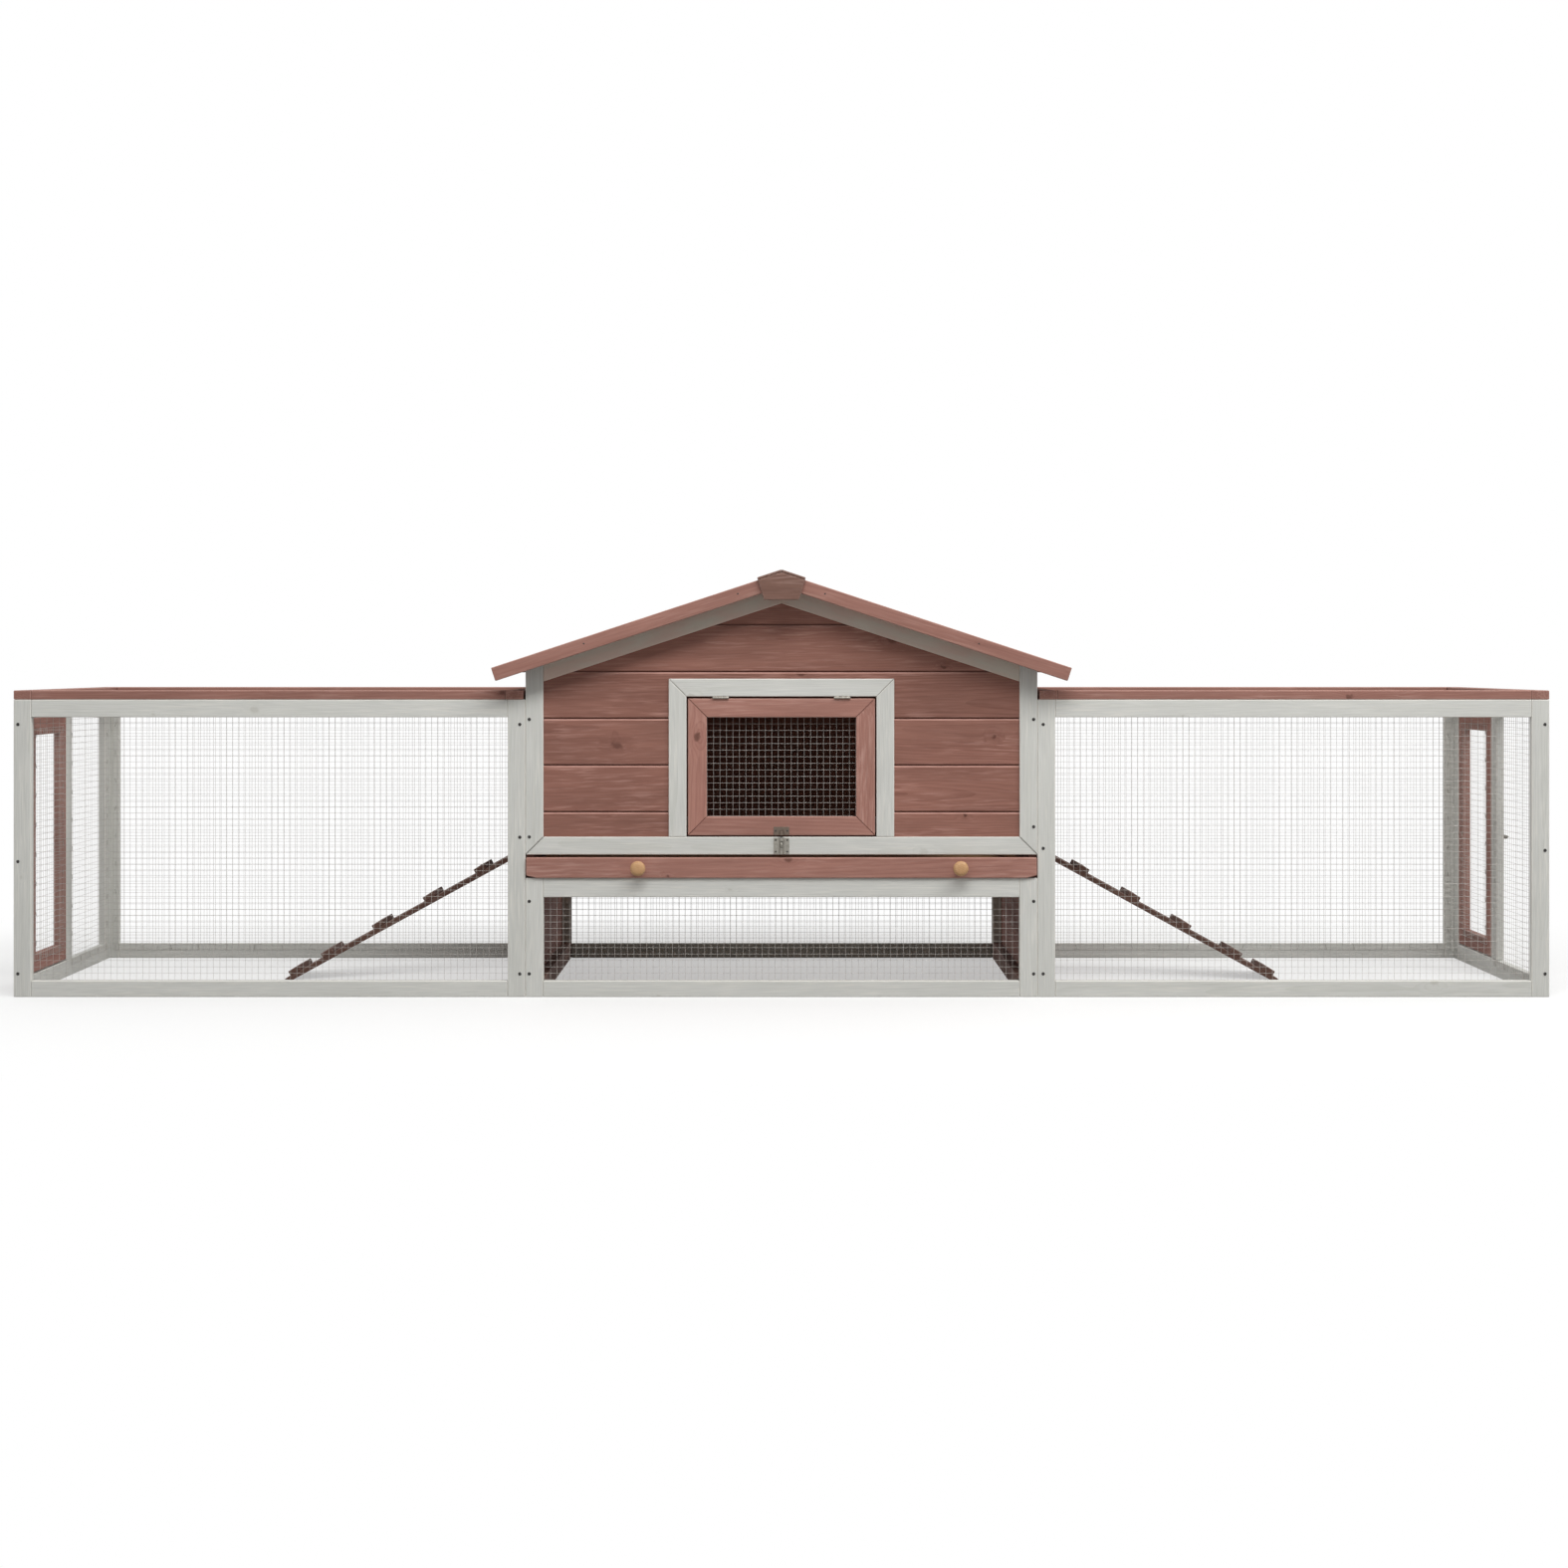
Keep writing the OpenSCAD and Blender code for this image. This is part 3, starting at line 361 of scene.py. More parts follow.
def wood_material(name, look):
    """Planed softwood under a stain or wash: rings, fibres, knots, wear and each member's tone,
    with a painted highlight and painted shade in V joints and a painted roof shade on sloping
    members.

    look is the wood's row in WOODS."""
    colours = bpy.context.scene.hutch_colours
    early, late, pale = (
        getattr(colours, look["stain"] + kind) for kind in ("", "_late", "_pale")
    )
    knot, joint, rough = linear(*look["knot"]), linear(*look["joint"]), look["rough"]
    rings_seen, fibres_seen, knots_seen, tones_seen, wear_and_highlight_seen = (
        look[kind] for kind in ("rings", "fibres", "knots", "tones", "wear")
    )
    material, tree, shader = new_material(name)
    gap = bpy.context.scene.hutch_sizes.ring_gap
    grain = stored(tree, "grain", "Vector")
    tone = stored(tree, "tone")
    arris = stored(tree, "arris")
    along, across, through = put(tree, "ShaderNodeSeparateXYZ", {0: grain}).outputs

    # Knots lie where a branch left the trunk, in cells of which some are chosen by chance
    ragged = noise(tree, stretch(tree, grain, (70, 70, 70)))
    face = vector_of(tree, {
        0: calc(tree, "MULTIPLY_ADD", along, 0.75, times(tree, ragged, 0.012)),
        1: calc(tree, "MULTIPLY_ADD", ragged, 0.012, calc(tree, "ADD", across, through)),
    })
    cells = put(
        tree, "ShaderNodeTexVoronoi", {"Vector": face, "Scale": 6.0}, voronoi_dimensions="2D"
    )
    chance, girth, hue = put(tree, "ShaderNodeSeparateColor", {0: cells.outputs["Color"]}).outputs
    chosen = calc(tree, "GREATER_THAN", chance, 0.45)
    away = calc(tree, "DIVIDE", cells.outputs["Distance"], remap(tree, girth, 0, 1, 0.4, 1.15))
    reach = times(tree, remap(tree, away, 0.2, 0.0, smooth=True), chosen)
    heart = times(tree, remap(tree, away, 0.05, 0.02, smooth=True), chosen)
    heart = times(tree, heart, remap(tree, hue, 0, 1, 0.5, 1))

    # The trunk sways, and its rings bend round the knots
    sway = calc(tree, "SUBTRACT", noise(tree, stretch(tree, grain, (2.2, 9, 9)), 3), 0.5)
    swayed = calc(tree, "MULTIPLY_ADD", sway, 0.016, through)
    bent = vector_of(tree, {
        0: along,
        1: calc(tree, "MULTIPLY_ADD", sway, 0.022, across),
        2: calc(tree, "MULTIPLY_ADD", reach, 0.009, swayed),
    })
    wave = {"Scale": 0.314 / gap, "Distortion": 0.8, "Detail": 2.0, "Detail Scale": 0.4}
    rings = put(
        tree, "ShaderNodeTexWave", {"Vector": bent, **wave}, wave_type="RINGS",
        rings_direction="X", wave_profile="SAW"
    ).outputs["Fac"]
    late_wood = calc(tree, "POWER", remap(tree, rings, 0.2, 1.0), 2.2)
    clear = remap(tree, noise(tree, stretch(tree, grain, (1.6, 15, 15))), 0.35, 0.65, 0.25, 1.0)
    broad = noise(tree, stretch(tree, grain, (2.6, 75, 75)), 2)
    fibres = noise(tree, stretch(tree, grain, (16, 620, 620)), 1)
    curls = noise(tree, stretch(tree, bent, (17, 210, 210)), 3)
    patches = noise(tree, stretch(tree, grain, (3.5, 22, 22)), 2)
    clouds = noise(tree, stretch(tree, grain, (5, 17, 17)), 3)

    # Late wood and pale curls over the early wood
    share = times(tree, times(tree, late_wood, clear), rings_seen)
    colour = blend(tree, share, early, late)
    colour = blend(tree, remap(tree, broad, 0.4, 0.8, 0, 0.6 * fibres_seen), colour, late)
    patchy = remap(tree, patches, 0.42, 0.64, 0.3, 1.3)
    curly = times(tree, remap(tree, curls, 0.48, 0.7), patchy)
    colour = blend(tree, times(tree, curly, fibres_seen), colour, pale)

    # Tone of the member, clouds in it and its fine fibres
    cloudy = remap(tree, clouds, 0.25, 0.75, 1 - tones_seen, 1 + tones_seen)
    off = calc(tree, "SUBTRACT", tone, 0.5)
    light = calc(tree, "MULTIPLY_ADD", off, 1.3 * tones_seen, cloudy)
    strands = remap(tree, fibres, 0.2, 0.8, 1 - 0.25 * fibres_seen, 1 + 0.14 * fibres_seen)
    light = times(tree, light, strands)
    lit = put(
        tree, "ShaderNodeVectorMath", {0: colour, "Scale": light}, operation="SCALE"
    ).outputs[0]

    # Knots, worn arrises with a painted highlight on the side of a V joint that looks up, dark
    # mitres, painted shade on the other sides of a V joint, and the warm tint that paints the
    # roof's shade on sloping members
    lit = blend(tree, times(tree, reach, 0.3 * knots_seen), lit, late)
    colour = blend(tree, times(tree, heart, knots_seen), lit, knot)
    rub = remap(tree, noise(tree, stretch(tree, grain, (24, 160, 160)), 2), 0.25, 0.6, 0.5, 1)
    wear_and_highlight = times(tree, calc(tree, "MAXIMUM", arris, 0.0), rub)
    colour = blend(tree, times(tree, wear_and_highlight, wear_and_highlight_seen), colour, pale)
    # Dark mitres, and painted shade on the sides of a V joint that don't look up
    dark_joint_and_painted_shade = calc(tree, "MAXIMUM", times(tree, arris, -1.0), 0.0)
    colour = blend(tree, times(tree, dark_joint_and_painted_shade, 0.8), colour, joint)
    # Painted roof shade: a warm uneven tint on the sloping members under the roof
    if "thin" in look:
        roof_shade_share = stored(tree, "sloping")
        spread = noise(tree, stretch(tree, grain, (9, 34, 34)), 3)
        roof_shade_tints = (linear(*shade) for shade in look["thin"])
        wash = blend(tree, remap(tree, spread, 0.38, 0.62), *roof_shade_tints)
        colour = blend(tree, times(tree, roof_shade_share, 0.8), colour, wash)

    tree.links.new(colour, shader.inputs["Base Color"])
    roughness = remap(tree, broad, 0.2, 0.8, rough - 0.07, rough + 0.07)
    tree.links.new(roughness, shader.inputs["Roughness"])
    shader.inputs["Specular IOR Level"].default_value = 0.3
    height = calc(tree, "MULTIPLY_ADD", late_wood, 0.6, fibres)
    bump = put(tree, "ShaderNodeBump", {"Strength": 0.25, "Distance": 0.0003, "Height": height})
    tree.links.new(bump.outputs[0], shader.inputs["Normal"])
    return material


def metal_material(name, look):
    """Zinc or steel with a mottled surface, darker where the piece says so.

    look is the metal's row in METALS."""
    colours = bpy.context.scene.hutch_colours
    colour, rough = getattr(colours, look["metal"]), look["rough"]
    material, tree, shader = new_material(name)
    place = put(tree, "ShaderNodeTexCoord").outputs["Object"]
    mottle = noise(tree, place, 3, look["spangle"])
    dull = blend(tree, remap(tree, mottle, 0.3, 0.7), [0.72 * part for part in colour], colour)
    if "darkened_zinc" in look:
        shade = stored(tree, "shade")
        dull = blend(tree, shade, dull, getattr(colours, look["darkened_zinc"]))
    tree.links.new(dull, shader.inputs["Base Color"])
    shader.inputs["Metallic"].default_value = look["metallic"]
    roughness = remap(tree, mottle, 0.3, 0.7, rough + 0.12, rough - 0.06)
    tree.links.new(roughness, shader.inputs["Roughness"])
    bump = put(tree, "ShaderNodeBump", {"Strength": 0.15, "Distance": 0.0001, "Height": mottle})
    tree.links.new(bump.outputs[0], shader.inputs["Normal"])
    return material


def finish(slot):
    """Material of one of the record's slots, made once."""
    name = "hutch_" + slot
    if name in bpy.data.materials:
        return bpy.data.materials[name]
    if slot in WOODS:
        return wood_material(name, WOODS[slot])
    return metal_material(name, METALS[slot])


# Shapes


def add_object(name, mesh):
    """Object of a mesh, linked to the scene at the origin."""
    piece = bpy.data.objects.new(name, mesh)
    bpy.context.scene.collection.objects.link(piece)
    return piece


def from_bmesh(name, shape):
    """Object of a bmesh, which is freed."""
    mesh = bpy.data.meshes.new(name)
    shape.to_mesh(mesh)
    shape.free()
    return add_object(name, mesh)


def settle(piece, body, slot, *nodes):
    """Gives a piece the material of its slot unless it has one, puts it under its body and hides
    the nodes that it stands for.
    """
    if not piece.data.materials:
        piece.data.materials.append(finish(slot))
    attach(piece, body)
    if nodes:
        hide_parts(*nodes)


def islands(shape):
    """Connected groups of vertices, in the order of the shape's own vertices."""
    left = set(shape.verts)
    for seed in list(shape.verts):
        if seed not in left:
            continue
        left.remove(seed)
        group, edge = [seed], [seed]
        while edge:
            vertex = edge.pop()
            for link in vertex.link_edges:
                other = link.other_vert(vertex)
                if other in left:
                    left.remove(other)
                    group.append(other)
                    edge.append(other)
        yield group


def middle(group):
    """Middle of some vertices."""
    return sum((v.co for v in group), Vector()) / len(group)


def write_grain(shape, seed, shift):
    """Stores on each vertex where it lies in the tree that its own member was sawn from.

    x runs along the member and the trunk's middle is the line y = z = 0. shift makes all
    members of the shape lighter, or darker where it is below 0."""
    grain = shape.verts.layers.float_vector.new("grain")
    tone = shape.verts.layers.float.new("tone")
    sloping = shape.verts.layers.float.new("sloping")
    groups = sorted(islands(shape), key=lambda group: tuple(round(c, 4) for c in middle(group)))
    rng = random.Random(seed)
    for group in groups:
        edges = dict.fromkeys(e for v in group for e in v.link_edges)
        faces = dict.fromkeys(f for v in group for f in v.link_faces)
        longest = max(edges, key=lambda e: round(e.calc_length(), 5))
        along = (longest.verts[1].co - longest.verts[0].co).normalized()
        if along[max(range(3), key=lambda i: abs(along[i]))] < 0:
            along = -along
        widest = max(
            faces, key=lambda f: (round(f.calc_area(), 7), *(round(n, 3) for n in f.normal))
        ).normal
        through = (widest - along * widest.dot(along)).normalized()
        across = through.cross(along)
        centre = middle(group)
        start = rng.uniform(0, TRUNK_L)
        pith = (
            rng.uniform(-PITH_ACROSS, PITH_ACROSS),
            rng.choice((-1, 1)) * rng.uniform(*PITH_THROUGH),
        )
        lean = (
            rng.uniform(-LEAN_ACROSS, LEAN_ACROSS),
            rng.uniform(-LEAN_THROUGH, LEAN_THROUGH),
        )
        shade = rng.random()
        # Sloping members take the warm tint that paints the roof's shade on the white paint
        slope = float(min(abs(along.x), abs(along.z)) > 0.2)
        for v in group:
            off = v.co - centre
            a = off.dot(along)
            v[grain] = (
                start + a,
                pith[0] + off.dot(across) + lean[0] * a,
                pith[1] + off.dot(through) + lean[1] * a,
            )
            v[tone] = shade + shift
            v[sloping] = slope


def eased(node, arris):
    """Shape of a node, cleaned of needless edges, with its outer arrises rounded by arris."""
    shape = bmesh.new()
    shape.from_mesh(frame["nodes"][node].data)
    for layer in list(shape.loops.layers.uv.values()):
        shape.loops.layers.uv.remove(layer)
    bmesh.ops.remove_doubles(shape, verts=shape.verts, dist=MERGE)
    bmesh.ops.dissolve_limit(shape, angle_limit=FLAT, verts=shape.verts, edges=shape.edges)
    if arris:
        sharp = [
            e for e in shape.edges
            if len(e.link_faces) == 2 and e.calc_face_angle_signed(0) > SHARP
        ]
        bmesh.ops.bevel(
            shape, geom=sharp, offset=arris, offset_type="OFFSET", segments=2, profile=0.5,
            affect="EDGES", clamp_overlap=True
        )
    return shape


def mark_arrises(shape, width, jointed=False):
    """Marks the slanting faces narrower than width along the edges, where the finish wears.

    In boards with V joints the side of a joint that looks up is marked as worn, which also paints a
    highlight there, and the other sides are marked for painted shade."""
    mark = shape.faces.layers.float.new("arris")
    for f in shape.faces:
        length = max(e.calc_length() for e in f.edges)
        slanted = max(abs(part) for part in f.normal) < math.cos(SLANT)
        if slanted and f.calc_area() < width * length:
            # On boards the side that looks up gets wear and a painted highlight, the other sides
            # painted shade
            f[mark] = PAINTED_SHADE if jointed and f.normal.z < 0.6 else WEAR_AND_HIGHLIGHT


def box_of(group):
    """Lowest and highest corner of some vertices."""
    low = Vector([min(v.co[i] for v in group) for i in range(3)])
    high = Vector([max(v.co[i] for v in group) for i in range(3)])
    return low, high


def spare_joints(shape, reach):
    """Takes the marks off the arrises within reach of another member, and shades mitres.

    First the faces are cut at the members' ends, so that a mark can end there."""
    boxes = [box_of(group) for group in islands(shape)]
    levels = {(i, round(corner[i], 4)) for box in boxes for corner in box for i in (0, 2)}
    for i, level in sorted(levels):
        way, point = Vector((0, 0, 0)), Vector((0, 0, 0))
        way[i], point[i] = 1, level
        everything = shape.verts[:] + shape.edges[:] + shape.faces[:]
        bmesh.ops.bisect_plane(shape, geom=everything, dist=1e-5, plane_co=point, plane_no=way)
    mark = shape.faces.layers.float["arris"]
    members = [dict.fromkeys(f for v in group for f in v.link_faces) for group in islands(shape)]
    if len(members) == 1:
        return
    for member in members:
        corners, others = [], []
        for f in (face for face in shape.faces if face not in member):
            others.append(tuple(range(len(corners), len(corners) + len(f.verts))))
            corners += [v.co for v in f.verts]
        around = BVHTree.FromPolygons(corners, others)
        for f in member:
            if f[mark] and around.find_nearest(f.calc_center_median(), reach)[0]:
                longest = max(f.edges, key=lambda e: e.calc_length())
                way = (longest.verts[1].co - longest.verts[0].co).normalized()
                f[mark] = MITRED if min(abs(way.x), abs(way.z)) > 0.5 else 0.0


def timber(node, arris, shift=0.0):
    """Piece that stands for a wooden node, from members with rounded arrises or from boards."""
    shape = eased(node, arris)
    mark_arrises(shape, MEMBER_ARRIS_W if arris else BOARD_ARRIS_W, jointed=not arris)
    write_grain(shape, node, shift)
    if arris:
        spare_joints(shape, arris)
    bmesh.ops.triangulate(shape, faces=[f for f in shape.faces if len(f.verts) > 4])
    piece = from_bmesh(node + "_timber", shape)
    settle(piece, BODY_OF[node], SLOT_OF[node], node)
    return piece


def new_tree(name, inputs):
    """Geometry tree with named inputs, and its input and output nodes."""
    tree = bpy.data.node_groups.new(name, "GeometryNodeTree")
    for label, kind, value in inputs:
        socket = tree.interface.new_socket(label, in_out="INPUT", socket_type=kind)
        if value is not None:
            socket.default_value = value
    tree.interface.new_socket("Geometry", in_out="OUTPUT", socket_type="NodeSocketGeometry")
    return tree, put(tree, "NodeGroupInput"), put(tree, "NodeGroupOutput")


def close_tree(tree, output, instances, material):
    """Ends a tree: instances made real, then given their material."""
    real = put(tree, "GeometryNodeRealizeInstances", {0: instances})
    dressed = put(
        tree, "GeometryNodeSetMaterial", {"Geometry": real.outputs[0], "Material": material}
    )
    tree.links.new(dressed.outputs[0], output.inputs[0])


def baked(piece, tree, values):
    """Runs a geometry tree on a piece and keeps the result as its plain mesh."""
    modifier = piece.modifiers.new("made", "NODES")
    modifier.node_group = tree
    for item in tree.interface.items_tree:
        if item.in_out == "INPUT" and item.name in values:
            modifier[item.identifier] = values[item.name]
    bpy.context.view_layer.update()
    graph = bpy.context.evaluated_depsgraph_get()
    mesh = bpy.data.meshes.new_from_object(piece.evaluated_get(graph), depsgraph=graph)
    piece.modifiers.clear()
    piece.data = mesh
    return piece


def net_tree():
    """Welded net in the XY plane, centred: wires along Y on wires along X."""
    if "welded_net" in bpy.data.node_groups:
        return bpy.data.node_groups["welded_net"]
    number = "NodeSocketFloat"
    tree, given, output = new_tree(
        "welded_net",
        [("Width", number, 1.0), ("Height", number, 1.0), ("Mesh", number, 0.0127),
         ("Wire Radius", number, 0.0005), ("Material", "NodeSocketMaterial", None)],
    )
    width, height, mesh, wire, material = given.outputs[:5]

    def layer(span, reach, side, turned):
        """Wires of the length reach, spread over a span on one side of the plane."""
        gaps = calc(tree, "ROUND", calc(tree, "DIVIDE", span, mesh))
        step = calc(tree, "DIVIDE", span, gaps)
        count = calc(tree, "ADD", gaps, 1.0)
        first = times(tree, span, -0.5)
        lift = times(tree, wire, side)
        start = vector_of(tree, {1 if turned else 0: first, 2: lift})
        offset = vector_of(tree, {1 if turned else 0: step})
        line = put(
            tree, "GeometryNodeMeshLine",
            {"Count": count, "Start Location": start, "Offset": offset}, mode="OFFSET"
        )
        rod = put(
            tree, "GeometryNodeMeshCylinder",
            {"Vertices": WIRE_SIDES, "Side Segments": 1, "Radius": wire, "Depth": reach},
            fill_type="NGON"
        )
        return put(
            tree, "GeometryNodeInstanceOnPoints",
            {
                "Points": line.outputs[0], "Instance": rod.outputs[0],
                "Rotation": (0, math.pi / 2, 0) if turned else (math.pi / 2, 0, 0),
            },
        ).outputs[0]

    join = put(tree, "GeometryNodeJoinGeometry")
    for wires in (layer(width, height, 1.0, False), layer(height, width, -1.0, True)):
        tree.links.new(wires, join.inputs[0])
    close_tree(tree, output, join.outputs[0], material)
    return tree


def staple_tree():
    """Staples along a rectangle in the XY plane, each turned a little by chance."""
    if "staple_row" in bpy.data.node_groups:
        return bpy.data.node_groups["staple_row"]
    number = "NodeSocketFloat"
    tree, given, output = new_tree(
        "staple_row",
        [("Width", number, 1.0), ("Height", number, 1.0), ("Spacing", number, 0.06),
         ("Length", number, 0.01), ("Thickness", number, 0.0007), ("Seed", "NodeSocketInt", 3),
         ("Material", "NodeSocketMaterial", None)],
    )
    width, height, spacing, length, thickness, seed, material = given.outputs[:7]
    path = put(tree, "GeometryNodeCurvePrimitiveQuadrilateral", {"Width": width, "Height": height})
    points = put(
        tree, "GeometryNodeCurveToPoints",
        {"Curve": path.outputs[0], "Length": spacing}, mode="LENGTH"
    )
    size = vector_of(tree, {0: thickness, 1: length, 2: thickness})
    crown = put(tree, "GeometryNodeMeshCube", {"Size": size})
    turn = put(tree, "FunctionNodeRandomValue", {"Seed": seed, 2: -0.5, 3: 0.5}, data_type="FLOAT")
    spin = vector_of(tree, {2: turn.outputs[1]})
    set_down = put(
        tree, "GeometryNodeInstanceOnPoints",
        {"Points": points.outputs["Points"], "Instance": crown.outputs[0], "Rotation": spin},
    )
    close_tree(tree, output, set_down.outputs[0], material)
    return tree


def head_tree():
    """A head on each point, turned to the point's facing."""
    if "fastener_heads" in bpy.data.node_groups:
        return bpy.data.node_groups["fastener_heads"]
    tree, given, output = new_tree(
        "fastener_heads",
        [("Geometry", "NodeSocketGeometry", None), ("Head", "NodeSocketObject", None),
         ("Seed", "NodeSocketInt", 5), ("Material", "NodeSocketMaterial", None)],
    )
    points, head, seed, material = given.outputs[:4]
    facing = put(
        tree, "GeometryNodeInputNamedAttribute", {"Name": "facing"}, data_type="FLOAT_VECTOR"
    )
    aligned = put(
        tree, "FunctionNodeAlignRotationToVector", {"Vector": facing.outputs[0]}, axis="Z"
    ).outputs[0]
    turn = put(
        tree, "FunctionNodeRandomValue", {"Seed": seed, 2: 0.0, 3: math.pi}, data_type="FLOAT"
    )
    driven = put(
        tree, "FunctionNodeAxisAngleToRotation", {"Axis": (0, 0, 1), "Angle": turn.outputs[1]}
    ).outputs[0]
    both = put(
        tree, "FunctionNodeRotateRotation", {0: aligned, 1: driven}, rotation_space="LOCAL"
    ).outputs[0]
    shown = put(tree, "GeometryNodeObjectInfo", {"Object": head}, transform_space="ORIGINAL")
    placed = put(
        tree, "GeometryNodeInstanceOnPoints",
        {"Points": points, "Instance": shown.outputs["Geometry"], "Rotation": both},
    )
    close_tree(tree, output, placed.outputs[0], material)
    return tree


def close_rows(shape, rows):
    """Skin over rows of as many vertices each, from the foot up, with both ends closed."""
    for low, high in zip(rows, rows[1:]):
        for i in range(len(low)):
            j = (i + 1) % len(low)
            shape.faces.new((low[i], low[j], high[j], high[i]))
    shape.faces.new(rows[-1])
    shape.faces.new(rows[0][::-1])


def cross_head(radius, height):
    """Screw head with a cross recess, its foot at z = 0."""
    shape = bmesh.new()
    slot, arm = 0.13 * radius, 0.62 * radius
    quarter = [(arm, -slot), (arm, slot), (slot, slot)]
    cross = []
    for turn in range(4):
        c, s = round(math.cos(turn * math.pi / 2)), round(math.sin(turn * math.pi / 2))
        cross += [(c * x - s * y, s * x + c * y) for x, y in quarter]
    angles = [math.radians(30 * i - 15) for i in range(len(cross))]
    circle = [(math.cos(a), math.sin(a)) for a in angles]
    levels = (
        [(0.96 * radius * x, 0.96 * radius * y, 0) for x, y in circle],
        [(radius * x, radius * y, 0.35 * height) for x, y in circle],
        [(0.8 * radius * x, 0.8 * radius * y, 0.85 * height) for x, y in circle],
        [(x, y, height) for x, y in cross],
        [(0.8 * x, 0.8 * y, 0.25 * height) for x, y in cross],
    )
    close_rows(shape, [[shape.verts.new(place) for place in level] for level in levels])
    return from_bmesh("cross_head", shape)


def nail_head(radius, height):
    """Flat round nail head, its foot at z = 0."""
    shape = bmesh.new()
    rows = []
    for share, level in ((1, 0), (1, 0.5), (0.75, 1)):
        r, z = share * radius, level * height
        rows.append([
            shape.verts.new((r * math.cos(a), r * math.sin(a), z))
            for a in (math.radians(36 * i) for i in range(10))
        ])
    close_rows(shape, rows)
    return from_bmesh("nail_head", shape)


def heads(name, head, body, slot, places, *nodes):
    """One piece of like heads at places, each a point and the way it faces."""
    mesh = bpy.data.meshes.new(name)
    mesh.from_pydata([place for place, way in places], [], [])
    facing = mesh.attributes.new("facing", "FLOAT_VECTOR", "POINT")
    facing.data.foreach_set("vector", [part for place, way in places for part in way])
    piece = add_object(name, mesh)
    baked(piece, head_tree(), {"Head": head, "Seed": len(places), "Material": finish(slot)})
    settle(piece, body, slot, *nodes)
    return piece


def solids_of(node):
    """Lowest and highest corner of each solid of a node."""
    shape = bmesh.new()
    shape.from_mesh(frame["nodes"][node].data)
    bmesh.ops.remove_doubles(shape, verts=shape.verts, dist=MERGE)
    boxes = [box_of(group) for group in islands(shape)]
    shape.free()
    return sorted(boxes, key=lambda box: tuple(round(c, 4) for c in box[0]))


def net_place(node):
    """Centre of a net, its two directions with their lengths, and the way to its inner side."""
    low, high = (Vector(corner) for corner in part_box(node))
    size, centre = high - low, (low + high) / 2
    thin = min(range(3), key=lambda i: size[i])
    first, second = [i for i in range(3) if i != thin]
    inner = Vector((0, 0, 0))
    inner[thin] = -1 if centre[thin] > 0 else 1
    ways = [Vector([float(i == axis) for i in range(3)]) for axis in (first, second)]
    return centre, ways, (size[first], size[second]), inner


def set_in_place(piece, centre, ways, normal):
    """Moves a mesh made in the XY plane to its place, within its mesh."""
    matrix = Matrix((ways[0], ways[1], normal)).transposed().to_4x4()
    if matrix.determinant() < 0:
        piece.data.transform(Matrix.Scale(-1, 4, (0, 0, 1)))
    matrix.translation = centre
    piece.data.transform(matrix)
    shape = bmesh.new()
    shape.from_mesh(piece.data)
    bmesh.ops.recalc_face_normals(shape, faces=shape.faces)
    shape.to_mesh(piece.data)
    shape.free()


def nodes_of(*slots):
    """Nodes that have one of these slots."""
    return [node for node, slot in SLOT_OF.items() if slot in slots]


# Stage


def place_camera(scene, view):
    """Level camera that sees the hutch as the photograph does."""
    camera = bpy.data.cameras.new("camera")
    camera.sensor_width = SENSOR
    camera.lens = view.focal_px * SENSOR / PHOTO_SIDE
    camera.shift_y = (view.horizon_px - PHOTO_SIDE / 2) / PHOTO_SIDE
    camera.clip_start, camera.clip_end = 0.05, 200
    eye = bpy.data.objects.new("camera", camera)
    eye.location = view.eye
    eye.rotation_euler = (math.pi / 2, 0, 0)
    scene.collection.objects.link(eye)
    scene.camera = eye


def hang_lamp(scene, view):
    """Long lamp over the front."""
    lamp = bpy.data.lights.new("key", "AREA")
    lamp.shape = "RECTANGLE"
    lamp.size, lamp.size_y = LAMP_SIZE
    lamp.energy = view.key
    key = bpy.data.objects.new("key", lamp)
    key.location = LAMP_PLACE
    way = Vector(LAMP_AIM) - key.location
    key.rotation_euler = way.to_track_quat("-Z", "Y").to_euler()
    scene.collection.objects.link(key)


def light_sky(scene, view):
    """White background that lights the hutch softly, most of all from the sides and behind."""
    world = bpy.data.worlds.new("soft_sky")
    scene.world = world
    world.use_nodes = True
    tree = world.node_tree
    tree.nodes.clear()
    way = put(tree, "ShaderNodeTexCoord").outputs["Generated"]
    _, depth, rise = put(tree, "ShaderNodeSeparateXYZ", {0: way}).outputs
    light = remap(tree, rise, 0, 1, view.sky_low, view.sky_high)
    fill = remap(tree, depth, *FILL_DEPTH, 0.0, view.sky_round, smooth=True)
    fill = times(tree, fill, remap(tree, rise, *FILL_RISE, smooth=True))
    light = calc(tree, "ADD", light, fill)
    missing = calc(tree, "SUBTRACT", 1.0, light)
    light = calc(tree, "MULTIPLY_ADD", looked_at(tree), missing, light)
    back = put(tree, "ShaderNodeBackground", {"Color": (1, 1, 1, 1), "Strength": light})
    out = put(tree, "ShaderNodeOutputWorld")
    tree.links.new(back.outputs[0], out.inputs[0])


